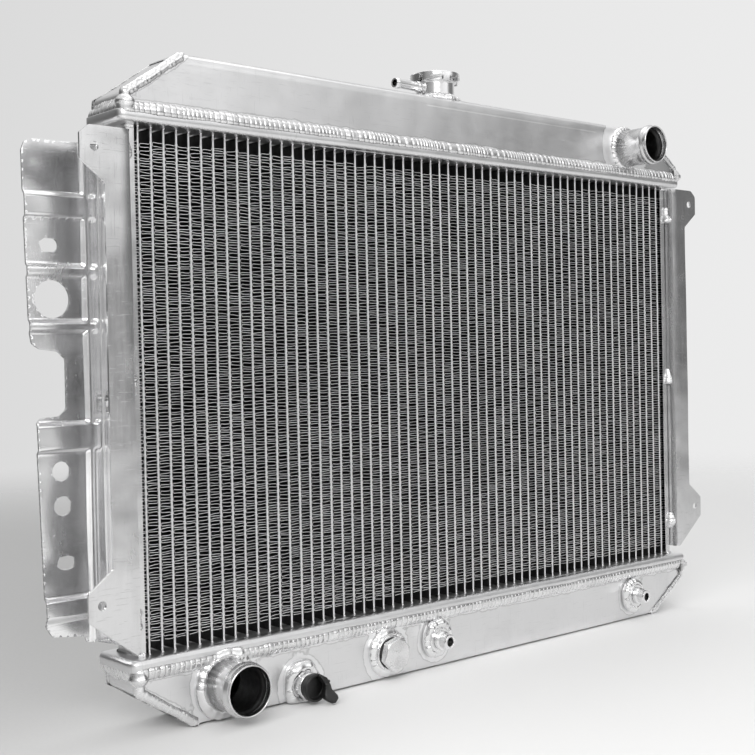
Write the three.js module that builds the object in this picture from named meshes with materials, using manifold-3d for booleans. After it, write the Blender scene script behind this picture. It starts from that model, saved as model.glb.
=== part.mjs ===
// Down-flow aluminium car radiator: welded tanks top and bottom, one row of flat tubes with folded
// fins between them, side channels, mounting brackets, hose necks, filler neck, drain and cooler.
// Millimetres. +X runs along the width, -Y is the hose side, +Z is up.
// The origin is the middle of the flat underside of the bottom tank, on the core's mid-plane.
import * as THREE from 'three';
import { mergeVertices } from 'three/addons/utils/BufferGeometryUtils.js';
import Module from 'manifold-3d';

const wasm = await Module();
wasm.setup();

// ---------- driving dimensions ----------
const GAP = 0.3;
const WELD = 2.7e-4;

const TUBE_COUNT = 58;
const TUBE_PITCH = 11.5;
const TUBE_THICK = 2.0;
const TUBE_DEPTH = 26.0;
const TUBE_WALL = 0.35;
const TUBE_REACH = 4.0;
const FIRST_TUBE_X = -((TUBE_COUNT - 1) * TUBE_PITCH) / 2;

const LOWER_PLATE_TOP = 60.0;
const UPPER_PLATE_UNDER = 467.0;
const PLATE_THICK = 2.0;
const HEADER_HALF_X = 352.0;
const HEADER_HALF_Y = 28.0;
const HEADER_CORNER = 6.0;
const HEADER_LIP = 9.0;
const LIP_THICK = 2.0;

const TANK_HALF_X = 346.0;
const TANK_HALF_Y = 25.0;
const TANK_SHEET = 2.5;
const TANK_FLAT_HALF = 292.5;
const TOP_TANK_Z = 525.0;
const TOP_SHOULDER_Z = 489.0;
const BOTTOM_SHOULDER_Z = 35.0;

const FIN_MARGIN = 9.0;
const FIN_FOLDS = 5;
const FIN_SHEET = 0.6;
const FIN_FRONT = -12.7;
const FIN_REAR = 13.5;
const STRAP_THICK = 0.5;
const STRAP_HEIGHT = 3.0;
const STRAP_BITE = 0.2;

const CHANNEL_WEB = 340.1;
const CHANNEL_SHEET = 1.5;
const CHANNEL_LIP_IN = 332.5;
const CHANNEL_HALF_Y = 15.2;
const CHANNEL_LIP_SHEET = 1.2;

const BRACKET_SHEET = 2.0;
const BRACKET_WEB_X = 340.6;
const FRONT_BRACKET_LOW = 64.0;
const FRONT_BRACKET_HIGH = 461.3;
const REAR_BRACKET_LOW = 67.0;
const REAR_BRACKET_HIGH = 456.5;
const RIGHT_BRACKET_RAISE = 4.5;

const UPPER_NECK = { x: 257.5, z: 501.8, outer: 19.05, bore: 17.0, mouth: 66.0 };
const LOWER_NECK = { x: -267.8, z: 28.7, outer: 20.5, bore: 18.4, mouth: 61.0 };
const NECK_INNER_END = 20.0;

const FILLER_X = 2.5;
const FILLER_TOP = 551.0;
const FILLER = { neck: 17.5, flange: 23.5, flangeUnder: 543.5, bore: 15.5, seat: 13.0, seatZ: 529.0 };
const NIPPLE_Z = 537.7;
const NIPPLE_END_X = -49.3;
const NIPPLE = { tube: 4.2, bead: 4.75, bore: 3.1 };

const DRAIN = { x: -191.2, z: 14.0, bung: 11.0, bore: 6.9, face: 38.0 };
const DRAIN_TAB = { reach: 17.0, halfWidth: 4.2, start: 43.0, depth: 7.5, angle: -46.0, slope: 0.45 };
const DRAIN_HEAD = { radius: 11.8, back: 40.4, front: 50.0, recess: 4.5 };
const DRAIN_SHANK = { radius: 6.6, tip: 23.0 };
const PLUG = { x: -95.8, z: 24.5, bung: 16.0, bore: 10.0, face: 33.0 };
const PLUG_HEAD = { flats: 27.0, back: 34.6, front: 41.6 };
const COOLER_Z = 26.5;
const COOLER_X = [-35.8, 255.2];
const COOLER = { barrel: 10.5, barrelBore: 8.5, stub: 5.5, bore: 3.8, bung: 12.0, bungBore: 7.3, face: 33.0 };

// ---------- materials ----------
function metal(color, roughness, metalness) {
  return new THREE.MeshStandardMaterial({ color, roughness, metalness });
}

const FINISH = {
  tank: () => metal(0xd6d8da, 0.35, 0.85),
  header: () => metal(0xcfd1d3, 0.4, 0.85),
  tube: () => metal(0xb9bcbe, 0.45, 0.8),
  fin: () => metal(0x8e9193, 0.55, 0.75),
  bracket: () => metal(0xc9cbcd, 0.4, 0.85),
  machined: () => metal(0xdedfe0, 0.25, 0.9),
  plastic: () => metal(0x141414, 0.45, 0.0),
  rubber: () => metal(0x1c1c1c, 0.85, 0.0),
};

// ---------- solid helpers ----------
function signedVolume(pos, index) {
  const a = new THREE.Vector3();
  const b = new THREE.Vector3();
  const c = new THREE.Vector3();
  let sum = 0;
  for (let i = 0; i < index.length; i += 3) {
    a.fromBufferAttribute(pos, index[i]);
    b.fromBufferAttribute(pos, index[i + 1]);
    c.fromBufferAttribute(pos, index[i + 2]);
    sum += a.dot(b.cross(c));
  }
  return sum / 6;
}

function solid(geometry) {
  const bare = geometry.clone();
  bare.deleteAttribute('normal');
  bare.deleteAttribute('uv');
  const merged = mergeVertices(bare, WELD);
  const kept = [];
  const raw = merged.index.array;
  for (let i = 0; i < raw.length; i += 3) {
    const distinct = raw[i] !== raw[i + 1] && raw[i + 1] !== raw[i + 2] && raw[i] !== raw[i + 2];
    if (distinct) {
      kept.push(raw[i], raw[i + 1], raw[i + 2]);
    }
  }
  const pos = merged.attributes.position;
  if (signedVolume(pos, kept) < 0) {
    for (let i = 0; i < kept.length; i += 3) {
      [kept[i + 1], kept[i + 2]] = [kept[i + 2], kept[i + 1]];
    }
  }
  const mesh = new wasm.Mesh({
    numProp: 3,
    vertProperties: new Float32Array(pos.array),
    triVerts: new Uint32Array(kept),
  });
  return new wasm.Manifold(mesh);
}

function geometryOf(body) {
  const mesh = body.getMesh();
  const geometry = new THREE.BufferGeometry();
  geometry.setAttribute('position', new THREE.BufferAttribute(mesh.vertProperties, mesh.numProp));
  geometry.setIndex(new THREE.BufferAttribute(mesh.triVerts, 1));
  geometry.computeVertexNormals();
  return geometry;
}

function block(x0, x1, y0, y1, z0, z1) {
  const geometry = new THREE.BoxGeometry(x1 - x0, y1 - y0, z1 - z0);
  geometry.translate((x0 + x1) / 2, (y0 + y1) / 2, (z0 + z1) / 2);
  return solid(geometry);
}

function outline(points) {
  return new THREE.Shape(points.map(([u, v]) => new THREE.Vector2(u, v)));
}

// Outline drawn in X and Z, pushed along Y.
function prismY(points, y0, y1) {
  const geometry = new THREE.ExtrudeGeometry(outline(points), { depth: y1 - y0, bevelEnabled: false });
  geometry.rotateX(Math.PI / 2);
  geometry.translate(0, y1, 0);
  return solid(geometry);
}

// Outline drawn in X and Y, pushed along Z.
function prismZ(points, z0, z1) {
  const geometry = new THREE.ExtrudeGeometry(outline(points), { depth: z1 - z0, bevelEnabled: false });
  geometry.translate(0, 0, z0);
  return solid(geometry);
}

// Profile of [radius, distance] turned about an axis. The distance runs forward (-Y) from Y = 0.
function turnedForward(profile, x, z, segments) {
  const points = profile.map(([r, t]) => new THREE.Vector2(r, t));
  const geometry = new THREE.LatheGeometry(points, segments);
  geometry.rotateX(Math.PI);
  geometry.translate(x, 0, z);
  return solid(geometry);
}

function turnedUp(profile, x, y, segments) {
  const points = profile.map(([r, h]) => new THREE.Vector2(r, h));
  const geometry = new THREE.LatheGeometry(points, segments);
  geometry.rotateX(Math.PI / 2);
  geometry.translate(x, y, 0);
  return solid(geometry);
}

function turnedAlongX(profile, y, z, segments) {
  const points = profile.map(([r, t]) => new THREE.Vector2(r, t));
  const geometry = new THREE.LatheGeometry(points, segments);
  geometry.rotateZ(-Math.PI / 2);
  geometry.translate(0, y, z);
  return solid(geometry);
}

function rodY(radius, x, z, y0, y1, segments = 24) {
  return turnedForward([[0, -y1], [radius, -y1], [radius, -y0], [0, -y0]], x, z, segments);
}

function rodZ(radius, x, y, z0, z1, segments = 24) {
  return turnedUp([[0, z0], [radius, z0], [radius, z1], [0, z1]], x, y, segments);
}

function ringOutline(inner, outer, start, end) {
  return [[inner, start], [outer, start], [outer, end], [inner, end], [inner, start]];
}

function roundedRectangle(halfX, halfY, radius, steps) {
  const points = [];
  const centres = [[1, 1, 0], [-1, 1, 90], [-1, -1, 180], [1, -1, 270]];
  for (const [sx, sy, from] of centres) {
    for (let i = 0; i <= steps; i += 1) {
      const angle = THREE.MathUtils.degToRad(from + (90 * i) / steps);
      const px = sx * (halfX - radius) + radius * Math.cos(angle);
      const py = sy * (halfY - radius) + radius * Math.sin(angle);
      points.push([px, py]);
    }
  }
  return points;
}

function slotOutline(cx, cz, halfWide, halfHigh, steps) {
  return roundedRectangle(halfWide, halfHigh, halfHigh, steps).map(([u, v]) => [cx + u, cz + v]);
}

function mirrorX(points) {
  return points.map(([x, z]) => [-x, z]).reverse();
}

function shiftZ(points, dz) {
  return points.map(([x, z]) => [x, z + dz]);
}

function tubeX(i) {
  return FIRST_TUBE_X + i * TUBE_PITCH;
}

// ---------- core ----------
function tubeBank() {
  const z0 = LOWER_PLATE_TOP - PLATE_THICK - TUBE_REACH;
  const z1 = UPPER_PLATE_UNDER + PLATE_THICK + TUBE_REACH;
  const halfT = TUBE_THICK / 2;
  const halfD = TUBE_DEPTH / 2;
  const tubes = [];
  for (let i = 0; i < TUBE_COUNT; i += 1) {
    const x = tubeX(i);
    const shell = block(x - halfT, x + halfT, -halfD, halfD, z0, z1);
    const water = block(
      x - halfT + TUBE_WALL,
      x + halfT - TUBE_WALL,
      -halfD + TUBE_WALL,
      halfD - TUBE_WALL,
      z0 - 1,
      z1 + 1,
    );
    tubes.push(shell.subtract(water));
  }
  // A slim rail across the tube ends inside the bottom tank holds the bank together.
  const rail = block(tubeX(0), tubeX(TUBE_COUNT - 1), -1, 1, z0 + 0.5, z0 + 2);
  return wasm.Manifold.union([...tubes, rail]);
}

function finColumn(x) {
  const half = TUBE_PITCH / 2 - TUBE_THICK / 2 - GAP;
  const z0 = LOWER_PLATE_TOP + FIN_MARGIN;
  const z1 = UPPER_PLATE_UNDER - FIN_MARGIN;
  const left = [];
  const right = [];
  for (let i = 0; i <= FIN_FOLDS; i += 1) {
    const middle = (i % 2 === 0 ? -1 : 1) * (half - FIN_SHEET / 2);
    const z = z0 + ((z1 - z0) * i) / FIN_FOLDS;
    right.push([x + middle + FIN_SHEET / 2, z]);
    left.unshift([x + middle - FIN_SHEET / 2, z]);
  }
  return prismY([...right, ...left], FIN_FRONT, FIN_REAR);
}

function finPack() {
  const columns = [];
  const firstX = FIRST_TUBE_X - TUBE_PITCH / 2;
  for (let i = 0; i <= TUBE_COUNT; i += 1) {
    columns.push(finColumn(firstX + i * TUBE_PITCH));
  }
  const reach = -firstX + 2;
  const z0 = LOWER_PLATE_TOP + FIN_MARGIN;
  const step = (UPPER_PLATE_UNDER - FIN_MARGIN - z0) / FIN_FOLDS;
  // A strap behind the tubes ties the columns together where the middle fold crosses each of them.
  const z = z0 + (step * FIN_FOLDS) / 2;
  const y = FIN_REAR - STRAP_BITE;
  const strap = block(-reach, reach, y, y + STRAP_THICK, z - STRAP_HEIGHT / 2, z + STRAP_HEIGHT / 2);
  return wasm.Manifold.union([...columns, strap]);
}

function headerPlate(plateZ0, plateZ1, lipZ0, lipZ1) {
  const outer = roundedRectangle(HEADER_HALF_X, HEADER_HALF_Y, HEADER_CORNER, 4);
  const innerRadius = HEADER_CORNER - LIP_THICK;
  const inner = roundedRectangle(HEADER_HALF_X - LIP_THICK, HEADER_HALF_Y - LIP_THICK, innerRadius, 4);
  let tray = prismZ(outer, Math.min(plateZ0, lipZ0), Math.max(plateZ1, lipZ1));
  const pocketZ0 = lipZ0 < plateZ0 ? lipZ0 - 1 : plateZ1;
  const pocketZ1 = lipZ0 < plateZ0 ? plateZ0 : lipZ1 + 1;
  tray = tray.subtract(prismZ(inner, pocketZ0, pocketZ1));
  const halfT = TUBE_THICK / 2 + GAP;
  const halfD = TUBE_DEPTH / 2 + GAP;
  const slots = [];
  for (let i = 0; i < TUBE_COUNT; i += 1) {
    const x = tubeX(i);
    slots.push(block(x - halfT, x + halfT, -halfD, halfD, plateZ0 - 1, plateZ1 + 1));
  }
  return tray.subtract(wasm.Manifold.union(slots));
}

function topHeader() {
  const z0 = UPPER_PLATE_UNDER;
  return headerPlate(z0, z0 + PLATE_THICK, z0, z0 + HEADER_LIP);
}

function bottomHeader() {
  const z1 = LOWER_PLATE_TOP;
  return headerPlate(z1 - PLATE_THICK, z1, z1 - HEADER_LIP, z1);
}

// ---------- tanks ----------
// The tank outline has short upright ends and sloping shoulders; depth of sheet can be taken off.
function tankOutline(seatZ, shoulderZ, flatZ, inset) {
  const sign = Math.sign(flatZ - seatZ);
  const run = TANK_HALF_X - TANK_FLAT_HALF;
  const rise = Math.abs(flatZ - shoulderZ);
  const length = Math.hypot(run, rise);
  const corner = (inset * (length - run)) / rise;
  const top = (inset * (length - rise)) / run;
  const side = TANK_HALF_X - inset;
  const flatHalf = TANK_FLAT_HALF - top;
  const shoulder = shoulderZ - sign * corner;
  const flat = flatZ - sign * inset;
  const right = [[side, seatZ], [side, shoulder], [flatHalf, flat]];
  const left = right.map(([x, z]) => [-x, z]).reverse();
  return [...right, ...left];
}

function tankShell(seatZ, shoulderZ, flatZ) {
  const sign = Math.sign(flatZ - seatZ);
  const outer = prismY(tankOutline(seatZ, shoulderZ, flatZ, 0), -TANK_HALF_Y, TANK_HALF_Y);
  const wallY = TANK_HALF_Y - TANK_SHEET;
  const z0 = Math.min(seatZ - sign, flatZ - sign * TANK_SHEET);
  const z1 = Math.max(seatZ - sign, flatZ - sign * TANK_SHEET);
  const hollow = block(-TANK_HALF_X - 1, TANK_HALF_X + 1, -wallY, wallY, z0, z1);
  const endX = TANK_FLAT_HALF - 4;
  const right = block(endX, TANK_HALF_X + 1, -wallY, wallY, -1, TOP_TANK_Z + 1);
  const left = block(-TANK_HALF_X - 1, -endX, -wallY, wallY, -1, TOP_TANK_Z + 1);
  return outer.subtract(hollow).subtract(right).subtract(left);
}

function tankEnd(side, seatZ, shoulderZ, flatZ) {
  const sign = Math.sign(flatZ - seatZ);
  const y = TANK_HALF_Y - TANK_SHEET - GAP;
  const outer = prismY(tankOutline(seatZ, shoulderZ, flatZ, 0), -y, y);
  const inner = prismY(tankOutline(seatZ - sign, shoulderZ, flatZ, TANK_SHEET), -y - 1, y + 1);
  const endX = TANK_FLAT_HALF - 4 + GAP;
  const x0 = side > 0 ? endX : -TANK_HALF_X - 1;
  const x1 = side > 0 ? TANK_HALF_X + 1 : -endX;
  const window = block(x0, x1, -y - 1, y + 1, -1, TOP_TANK_Z + 1);
  return outer.subtract(inner).intersect(window);
}

const TOP_SEAT = UPPER_PLATE_UNDER + PLATE_THICK + GAP;
const BOTTOM_SEAT = LOWER_PLATE_TOP - PLATE_THICK - GAP;

function topTankShell() {
  const hole = rodY(UPPER_NECK.outer + GAP, UPPER_NECK.x, UPPER_NECK.z, -TANK_HALF_Y - 1, 0, 32);
  const mouth = rodZ(FILLER.neck + GAP, FILLER_X, 0, TOP_TANK_Z - 10, TOP_TANK_Z + 1, 32);
  return tankShell(TOP_SEAT, TOP_SHOULDER_Z, TOP_TANK_Z).subtract(hole).subtract(mouth);
}

function bottomTankShell() {
  const front = -TANK_HALF_Y - 1;
  const holes = [
    rodY(LOWER_NECK.outer + GAP, LOWER_NECK.x, LOWER_NECK.z, front, 0, 32),
    rodY(DRAIN.bung + GAP, DRAIN.x, DRAIN.z, front, 0),
    rodY(PLUG.bung + GAP, PLUG.x, PLUG.z, front, 0),
    ...COOLER_X.map((x) => rodY(COOLER.bung + GAP, x, COOLER_Z, front, 0)),
  ];
  return tankShell(BOTTOM_SEAT, BOTTOM_SHOULDER_Z, 0).subtract(wasm.Manifold.union(holes));
}

// ---------- sides and brackets ----------
function sideChannel(side) {
  const z0 = LOWER_PLATE_TOP + GAP;
  const z1 = UPPER_PLATE_UNDER - GAP;
  const half = CHANNEL_HALF_Y;
  const outer = block(CHANNEL_LIP_IN, CHANNEL_WEB, -half, half, z0, z1);
  const lip = half - CHANNEL_LIP_SHEET;
  const inner = block(CHANNEL_LIP_IN - 1, CHANNEL_WEB - CHANNEL_SHEET, -lip, lip, z0 - 1, z1 + 1);
  const channel = outer.subtract(inner);
  return side > 0 ? channel : channel.mirror([1, 0, 0]);
}

const FLANGE_OUTLINE = [
  [BRACKET_WEB_X, FRONT_BRACKET_LOW],
  [345.5, FRONT_BRACKET_LOW],
  [385.5, 94.5],
  [385.5, 115.5],
  [364.5, 131.5],
  [364.0, 420.0],
  [384.0, 435.5],
  [384.0, 455.0],
  [376.0, FRONT_BRACKET_HIGH],
  [BRACKET_WEB_X, FRONT_BRACKET_HIGH],
];
const FLANGE_HOLES = [[374.4, 105.8], [372.0, 445.6]];

function frontBracket(side, raise) {
  const front = -TANK_HALF_Y;
  const outer = side > 0 ? FLANGE_OUTLINE : mirrorX(FLANGE_OUTLINE);
  let plate = prismY(shiftZ(outer, raise), front, front + BRACKET_SHEET);
  const x0 = BRACKET_WEB_X;
  const x1 = BRACKET_WEB_X + BRACKET_SHEET;
  const web = block(x0, x1, front, -2, FRONT_BRACKET_LOW + raise, FRONT_BRACKET_HIGH + raise);
  plate = plate.add(side > 0 ? web : web.mirror([1, 0, 0]));
  const holes = FLANGE_HOLES.map(([x, z]) => rodY(3.6, side * x, z + raise, front - 1, front + 3, 16));
  return plate.subtract(wasm.Manifold.union(holes));
}

const REAR_OUTLINE = [
  [-BRACKET_WEB_X, REAR_BRACKET_HIGH],
  [-397.7, 455.5],
  [-404.2, 453.0],
  [-406.7, 446.5],
  [-403.4, 311.0],
  [-401.7, 301.0],
  [-395.7, 297.0],
  [-380.7, 295.0],
  [-374.7, 289.0],
  [-375.2, 251.0],
  [-381.2, 245.5],
  [-395.7, 245.0],
  [-400.2, 240.0],
  [-395.3, 85.0],
  [-390.2, 77.5],
  [-363.7, 74.5],
  [-362.2, 69.5],
  [-BRACKET_WEB_X, REAR_BRACKET_LOW],
];
const REAR_ROUND_HOLES = [[-384.2, 335.0, 14.6], [-380.4, 203.5, 7.5], [-379.3, 176.8, 7.5]];
const REAR_SLOTS = [[-385.9, 376.0], [-377.6, 133.0]];

function rearBracket() {
  const rear = TANK_HALF_Y;
  const plate = prismY([...REAR_OUTLINE].reverse(), rear - BRACKET_SHEET, rear);
  const x1 = -BRACKET_WEB_X;
  const web = block(x1 - BRACKET_SHEET, x1, 2, rear, REAR_BRACKET_LOW, REAR_BRACKET_HIGH);
  const holes = REAR_ROUND_HOLES.map(([x, z, r]) => rodY(r, x, z, rear - 3, rear + 1, 24));
  const slots = REAR_SLOTS.map(([x, z]) => prismY(slotOutline(x, z, 7.6, 5.2, 4), rear - 3, rear + 1));
  return plate.add(web).subtract(wasm.Manifold.union([...holes, ...slots]));
}

// ---------- hose necks ----------
function hoseNeck(neck) {
  const { outer, bore, mouth } = neck;
  const profile = [
    [bore, NECK_INNER_END],
    [outer, NECK_INNER_END],
    [outer, mouth - 7.5],
    [outer + 1.3, mouth - 6],
    [outer + 1.3, mouth - 4],
    [outer, mouth - 2.5],
    [outer, mouth],
    [bore, mouth],
    [bore, NECK_INNER_END],
  ];
  return turnedForward(profile, neck.x, neck.z, 36);
}

// ---------- filler ----------
function fillerNeck() {
  const inside = TOP_TANK_Z - TANK_SHEET - 1.5;
  const { neck: outer, flange, flangeUnder, bore: throat, seat, seatZ } = FILLER;
  const profile = [
    [seat, inside],
    [outer, inside],
    [outer, flangeUnder - 1],
    [flange, flangeUnder],
    [flange, FILLER_TOP],
    [flange - 3.5, FILLER_TOP],
    [throat, FILLER_TOP - 3],
    [throat, seatZ],
    [seat, seatZ - 1],
    [seat, inside],
  ];
  let neck = turnedUp(profile, FILLER_X, 0, 40);
  // Two notches in the cam flange let a cap's ears drop in before it is turned.
  for (const side of [-1, 1]) {
    const x = FILLER_X + side * (FILLER.flange - 2);
    neck = neck.subtract(block(x - 4, x + 4, -6.5, 6.5, FILLER.flangeUnder - 2.5, FILLER_TOP + 1));
  }
  const radius = NIPPLE.bead + GAP;
  const start = FILLER_X - 19;
  const end = FILLER_X - 14;
  const bore = turnedAlongX([[0, start], [radius, start], [radius, end], [0, end]], 0, NIPPLE_Z, 20);
  return neck.subtract(bore);
}

function overflowNipple() {
  const { tube, bead, bore } = NIPPLE;
  const root = FILLER_X - 15.8;
  const profile = [
    [bore, NIPPLE_END_X],
    [tube - 0.1, NIPPLE_END_X],
    [bead, NIPPLE_END_X + 3],
    [bead, NIPPLE_END_X + 5],
    [tube, NIPPLE_END_X + 6],
    [tube, root - 6.7],
    [bead, root - 5.7],
    [bead, root],
    [bore, root],
    [bore, NIPPLE_END_X],
  ];
  return turnedAlongX(profile, 0, NIPPLE_Z, 20);
}

// ---------- drain, plug and cooler ----------
const BUNG_BACK = 21.0;

function bung(x, z, outer, bore, face) {
  return turnedForward(ringOutline(bore, outer, BUNG_BACK, face), x, z, 28);
}

function drainSeal() {
  return turnedForward(ringOutline(7.4, 10.2, 38.3, 40.1), DRAIN.x, DRAIN.z, 24);
}

function drainScrew() {
  const { radius, back, front, recess } = DRAIN_HEAD;
  const shank = DRAIN_SHANK.radius;
  const tip = DRAIN_SHANK.tip;
  const profile = [
    [0, tip],
    [shank - 1, tip],
    [shank, tip + 1.5],
    [shank, back],
    [radius - 0.2, back],
    [radius, back + 1.6],
    [radius, front - 1.5],
    [radius - 1, front],
    [radius - 2.6, front],
    [radius - 3.2, front - recess],
    [0, front - recess],
  ];
  let screw = turnedForward(profile, DRAIN.x, DRAIN.z, 28);
  // The finger tab leaves the cupped head at a slope, forward and down to one side.
  const { reach, halfWidth, start, depth, slope } = DRAIN_TAB;
  const angle = THREE.MathUtils.degToRad(DRAIN_TAB.angle);
  const tabShape = outline([
    [4, -halfWidth - 1],
    [reach - 2, -halfWidth],
    [reach, 2 - halfWidth],
    [reach, halfWidth - 2],
    [reach - 2, halfWidth],
    [4, halfWidth + 1],
  ]);
  const tab = new THREE.ExtrudeGeometry(tabShape, { depth, bevelEnabled: false });
  const shear = new THREE.Matrix4().set(1, 0, 0, 0, 0, 1, 0, 0, slope, 0, 1, 0, 0, 0, 0, 1);
  tab.applyMatrix4(shear);
  tab.rotateX(Math.PI / 2);
  tab.rotateY(-angle);
  tab.translate(DRAIN.x, -start, DRAIN.z);
  screw = screw.add(solid(tab));
  return screw;
}

function plugGasket() {
  return turnedForward(ringOutline(10.4, 14.0, 33.3, 34.3), PLUG.x, PLUG.z, 28);
}

function hexPlug() {
  const { flats, back: headBack, front: headFront } = PLUG_HEAD;
  const shank = rodY(PLUG.bore - GAP, PLUG.x, PLUG.z, -headBack - 0.4, -20.0, 24);
  const corner = flats / 2 / Math.cos(Math.PI / 6);
  const points = [];
  for (let i = 0; i < 6; i += 1) {
    const angle = THREE.MathUtils.degToRad(15 + i * 60);
    points.push([PLUG.x + corner * Math.cos(angle), PLUG.z + corner * Math.sin(angle)]);
  }
  const head = prismY(points, -headFront, -headBack);
  const chamferProfile = [
    [0, headBack - 0.6],
    [16, headBack - 0.6],
    [16, headFront - 1.7],
    [13.6, headFront],
    [0, headFront],
  ];
  const chamfer = turnedForward(chamferProfile, PLUG.x, PLUG.z, 32);
  return head.intersect(chamfer).add(shank);
}

function coolerFitting(x) {
  const profile = [
    [3.8, 20.0],
    [7.0, 20.0],
    [7.0, 33.3],
    [8.6, 33.3],
    [8.6, 37.0],
    [6.9, 37.0],
    [6.9, 43.5],
    [5.6, 46.0],
    [3.8, 46.0],
    [3.8, 20.0],
  ];
  return turnedForward(profile, x, COOLER_Z, 24);
}

function oilCooler() {
  const x0 = COOLER_X[0] - 16;
  const x1 = COOLER_X[1] + 16;
  const outer = COOLER.barrel;
  const inner = COOLER.barrelBore;
  const barrel = turnedAlongX([[0, x0], [outer, x0], [outer, x1], [0, x1]], 0, COOLER_Z, 24);
  const hollow = turnedAlongX([[0, x0 + 2], [inner, x0 + 2], [inner, x1 - 2], [0, x1 - 2]], 0, COOLER_Z, 24);
  const stubs = COOLER_X.map((x) => rodY(COOLER.stub, x, COOLER_Z, -19.7, 1 - outer, 20));
  const bores = COOLER_X.map((x) => rodY(COOLER.bore, x, COOLER_Z, -20.5, -5, 20));
  const body = wasm.Manifold.union([barrel, ...stubs]);
  return body.subtract(hollow).subtract(wasm.Manifold.union(bores));
}

// ---------- assembly ----------
const group = new THREE.Group();
group.name = 'car_radiator';

function place(name, body, material) {
  const parts = body.decompose();
  if (parts.length !== 1) {
    throw new Error(`${name} is ${parts.length} bodies`);
  }
  const mesh = new THREE.Mesh(geometryOf(body), material);
  mesh.name = name;
  group.add(mesh);
}

place('tube_bank', tubeBank(), FINISH.tube());
place('fin_pack', finPack(), FINISH.fin());
place('top_header', topHeader(), FINISH.header());
place('bottom_header', bottomHeader(), FINISH.header());
place('top_tank_shell', topTankShell(), FINISH.tank());
place('top_tank_left_end', tankEnd(-1, TOP_SEAT, TOP_SHOULDER_Z, TOP_TANK_Z), FINISH.tank());
place('top_tank_right_end', tankEnd(1, TOP_SEAT, TOP_SHOULDER_Z, TOP_TANK_Z), FINISH.tank());
place('bottom_tank_shell', bottomTankShell(), FINISH.tank());
place('bottom_tank_left_end', tankEnd(-1, BOTTOM_SEAT, BOTTOM_SHOULDER_Z, 0), FINISH.tank());
place('bottom_tank_right_end', tankEnd(1, BOTTOM_SEAT, BOTTOM_SHOULDER_Z, 0), FINISH.tank());
place('left_side_channel', sideChannel(-1), FINISH.bracket());
place('right_side_channel', sideChannel(1), FINISH.bracket());
place('left_front_bracket', frontBracket(-1, 0), FINISH.bracket());
place('right_front_bracket', frontBracket(1, RIGHT_BRACKET_RAISE), FINISH.bracket());
place('left_rear_bracket', rearBracket(), FINISH.bracket());
place('upper_hose_neck', hoseNeck(UPPER_NECK), FINISH.machined());
place('lower_hose_neck', hoseNeck(LOWER_NECK), FINISH.machined());
place('filler_neck', fillerNeck(), FINISH.machined());
place('overflow_nipple', overflowNipple(), FINISH.machined());
place('drain_bung', bung(DRAIN.x, DRAIN.z, DRAIN.bung, DRAIN.bore, DRAIN.face), FINISH.machined());
place('drain_seal', drainSeal(), FINISH.rubber());
place('drain_screw', drainScrew(), FINISH.plastic());
place('plug_bung', bung(PLUG.x, PLUG.z, PLUG.bung, PLUG.bore, PLUG.face), FINISH.machined());
place('plug_gasket', plugGasket(), FINISH.rubber());
place('hex_plug', hexPlug(), FINISH.machined());
place('oil_cooler', oilCooler(), FINISH.machined());
COOLER_X.forEach((x, i) => {
  const side = i === 0 ? 'left' : 'right';
  const ring = bung(x, COOLER_Z, COOLER.bung, COOLER.bungBore, COOLER.face);
  place(`cooler_bung_${side}`, ring, FINISH.machined());
  place(`cooler_fitting_${side}`, coolerFitting(x), FINISH.machined());
});

export default group;
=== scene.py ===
"""Looks of the welded aluminium car radiator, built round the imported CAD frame.

Lengths inside this script are millimetres until a mesh is made; Blender objects are in metres.
"""

import itertools
import math
import random

import bmesh
import bpy
import numpy as np
from mathutils import Matrix, Vector
from mathutils.geometry import delaunay_2d_cdt


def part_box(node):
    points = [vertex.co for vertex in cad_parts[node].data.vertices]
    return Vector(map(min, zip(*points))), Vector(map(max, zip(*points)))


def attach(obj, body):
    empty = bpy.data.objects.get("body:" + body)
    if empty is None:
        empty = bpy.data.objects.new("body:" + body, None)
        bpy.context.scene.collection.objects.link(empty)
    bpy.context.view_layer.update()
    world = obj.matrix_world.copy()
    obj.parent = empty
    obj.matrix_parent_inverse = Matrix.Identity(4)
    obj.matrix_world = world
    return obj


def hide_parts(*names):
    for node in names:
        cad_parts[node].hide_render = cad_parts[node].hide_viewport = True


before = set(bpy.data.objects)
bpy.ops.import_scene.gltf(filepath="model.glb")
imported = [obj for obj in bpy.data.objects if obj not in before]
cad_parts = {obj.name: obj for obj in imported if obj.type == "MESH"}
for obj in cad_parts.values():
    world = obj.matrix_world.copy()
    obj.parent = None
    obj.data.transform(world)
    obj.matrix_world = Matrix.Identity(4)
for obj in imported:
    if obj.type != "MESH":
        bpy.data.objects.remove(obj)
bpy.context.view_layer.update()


MM = 0.001
BODY = "radiator"


def node_box(name):
    low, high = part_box(name)
    return np.array(low) / MM, np.array(high) / MM


# ---------- dimensions: read from the frame, or in millimetres ----------
TUBE_LOW, TUBE_HIGH = node_box("tube_bank")
FIN_LOW, FIN_HIGH = node_box("fin_pack")
TOP_HEADER_LOW, TOP_HEADER_HIGH = node_box("top_header")
LOW_HEADER_LOW, LOW_HEADER_HIGH = node_box("bottom_header")
TOP_TANK_LOW, TOP_TANK_HIGH = node_box("top_tank_shell")
LOW_TANK_LOW, LOW_TANK_HIGH = node_box("bottom_tank_shell")
FILLER_LOW, FILLER_HIGH = node_box("filler_neck")

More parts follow.
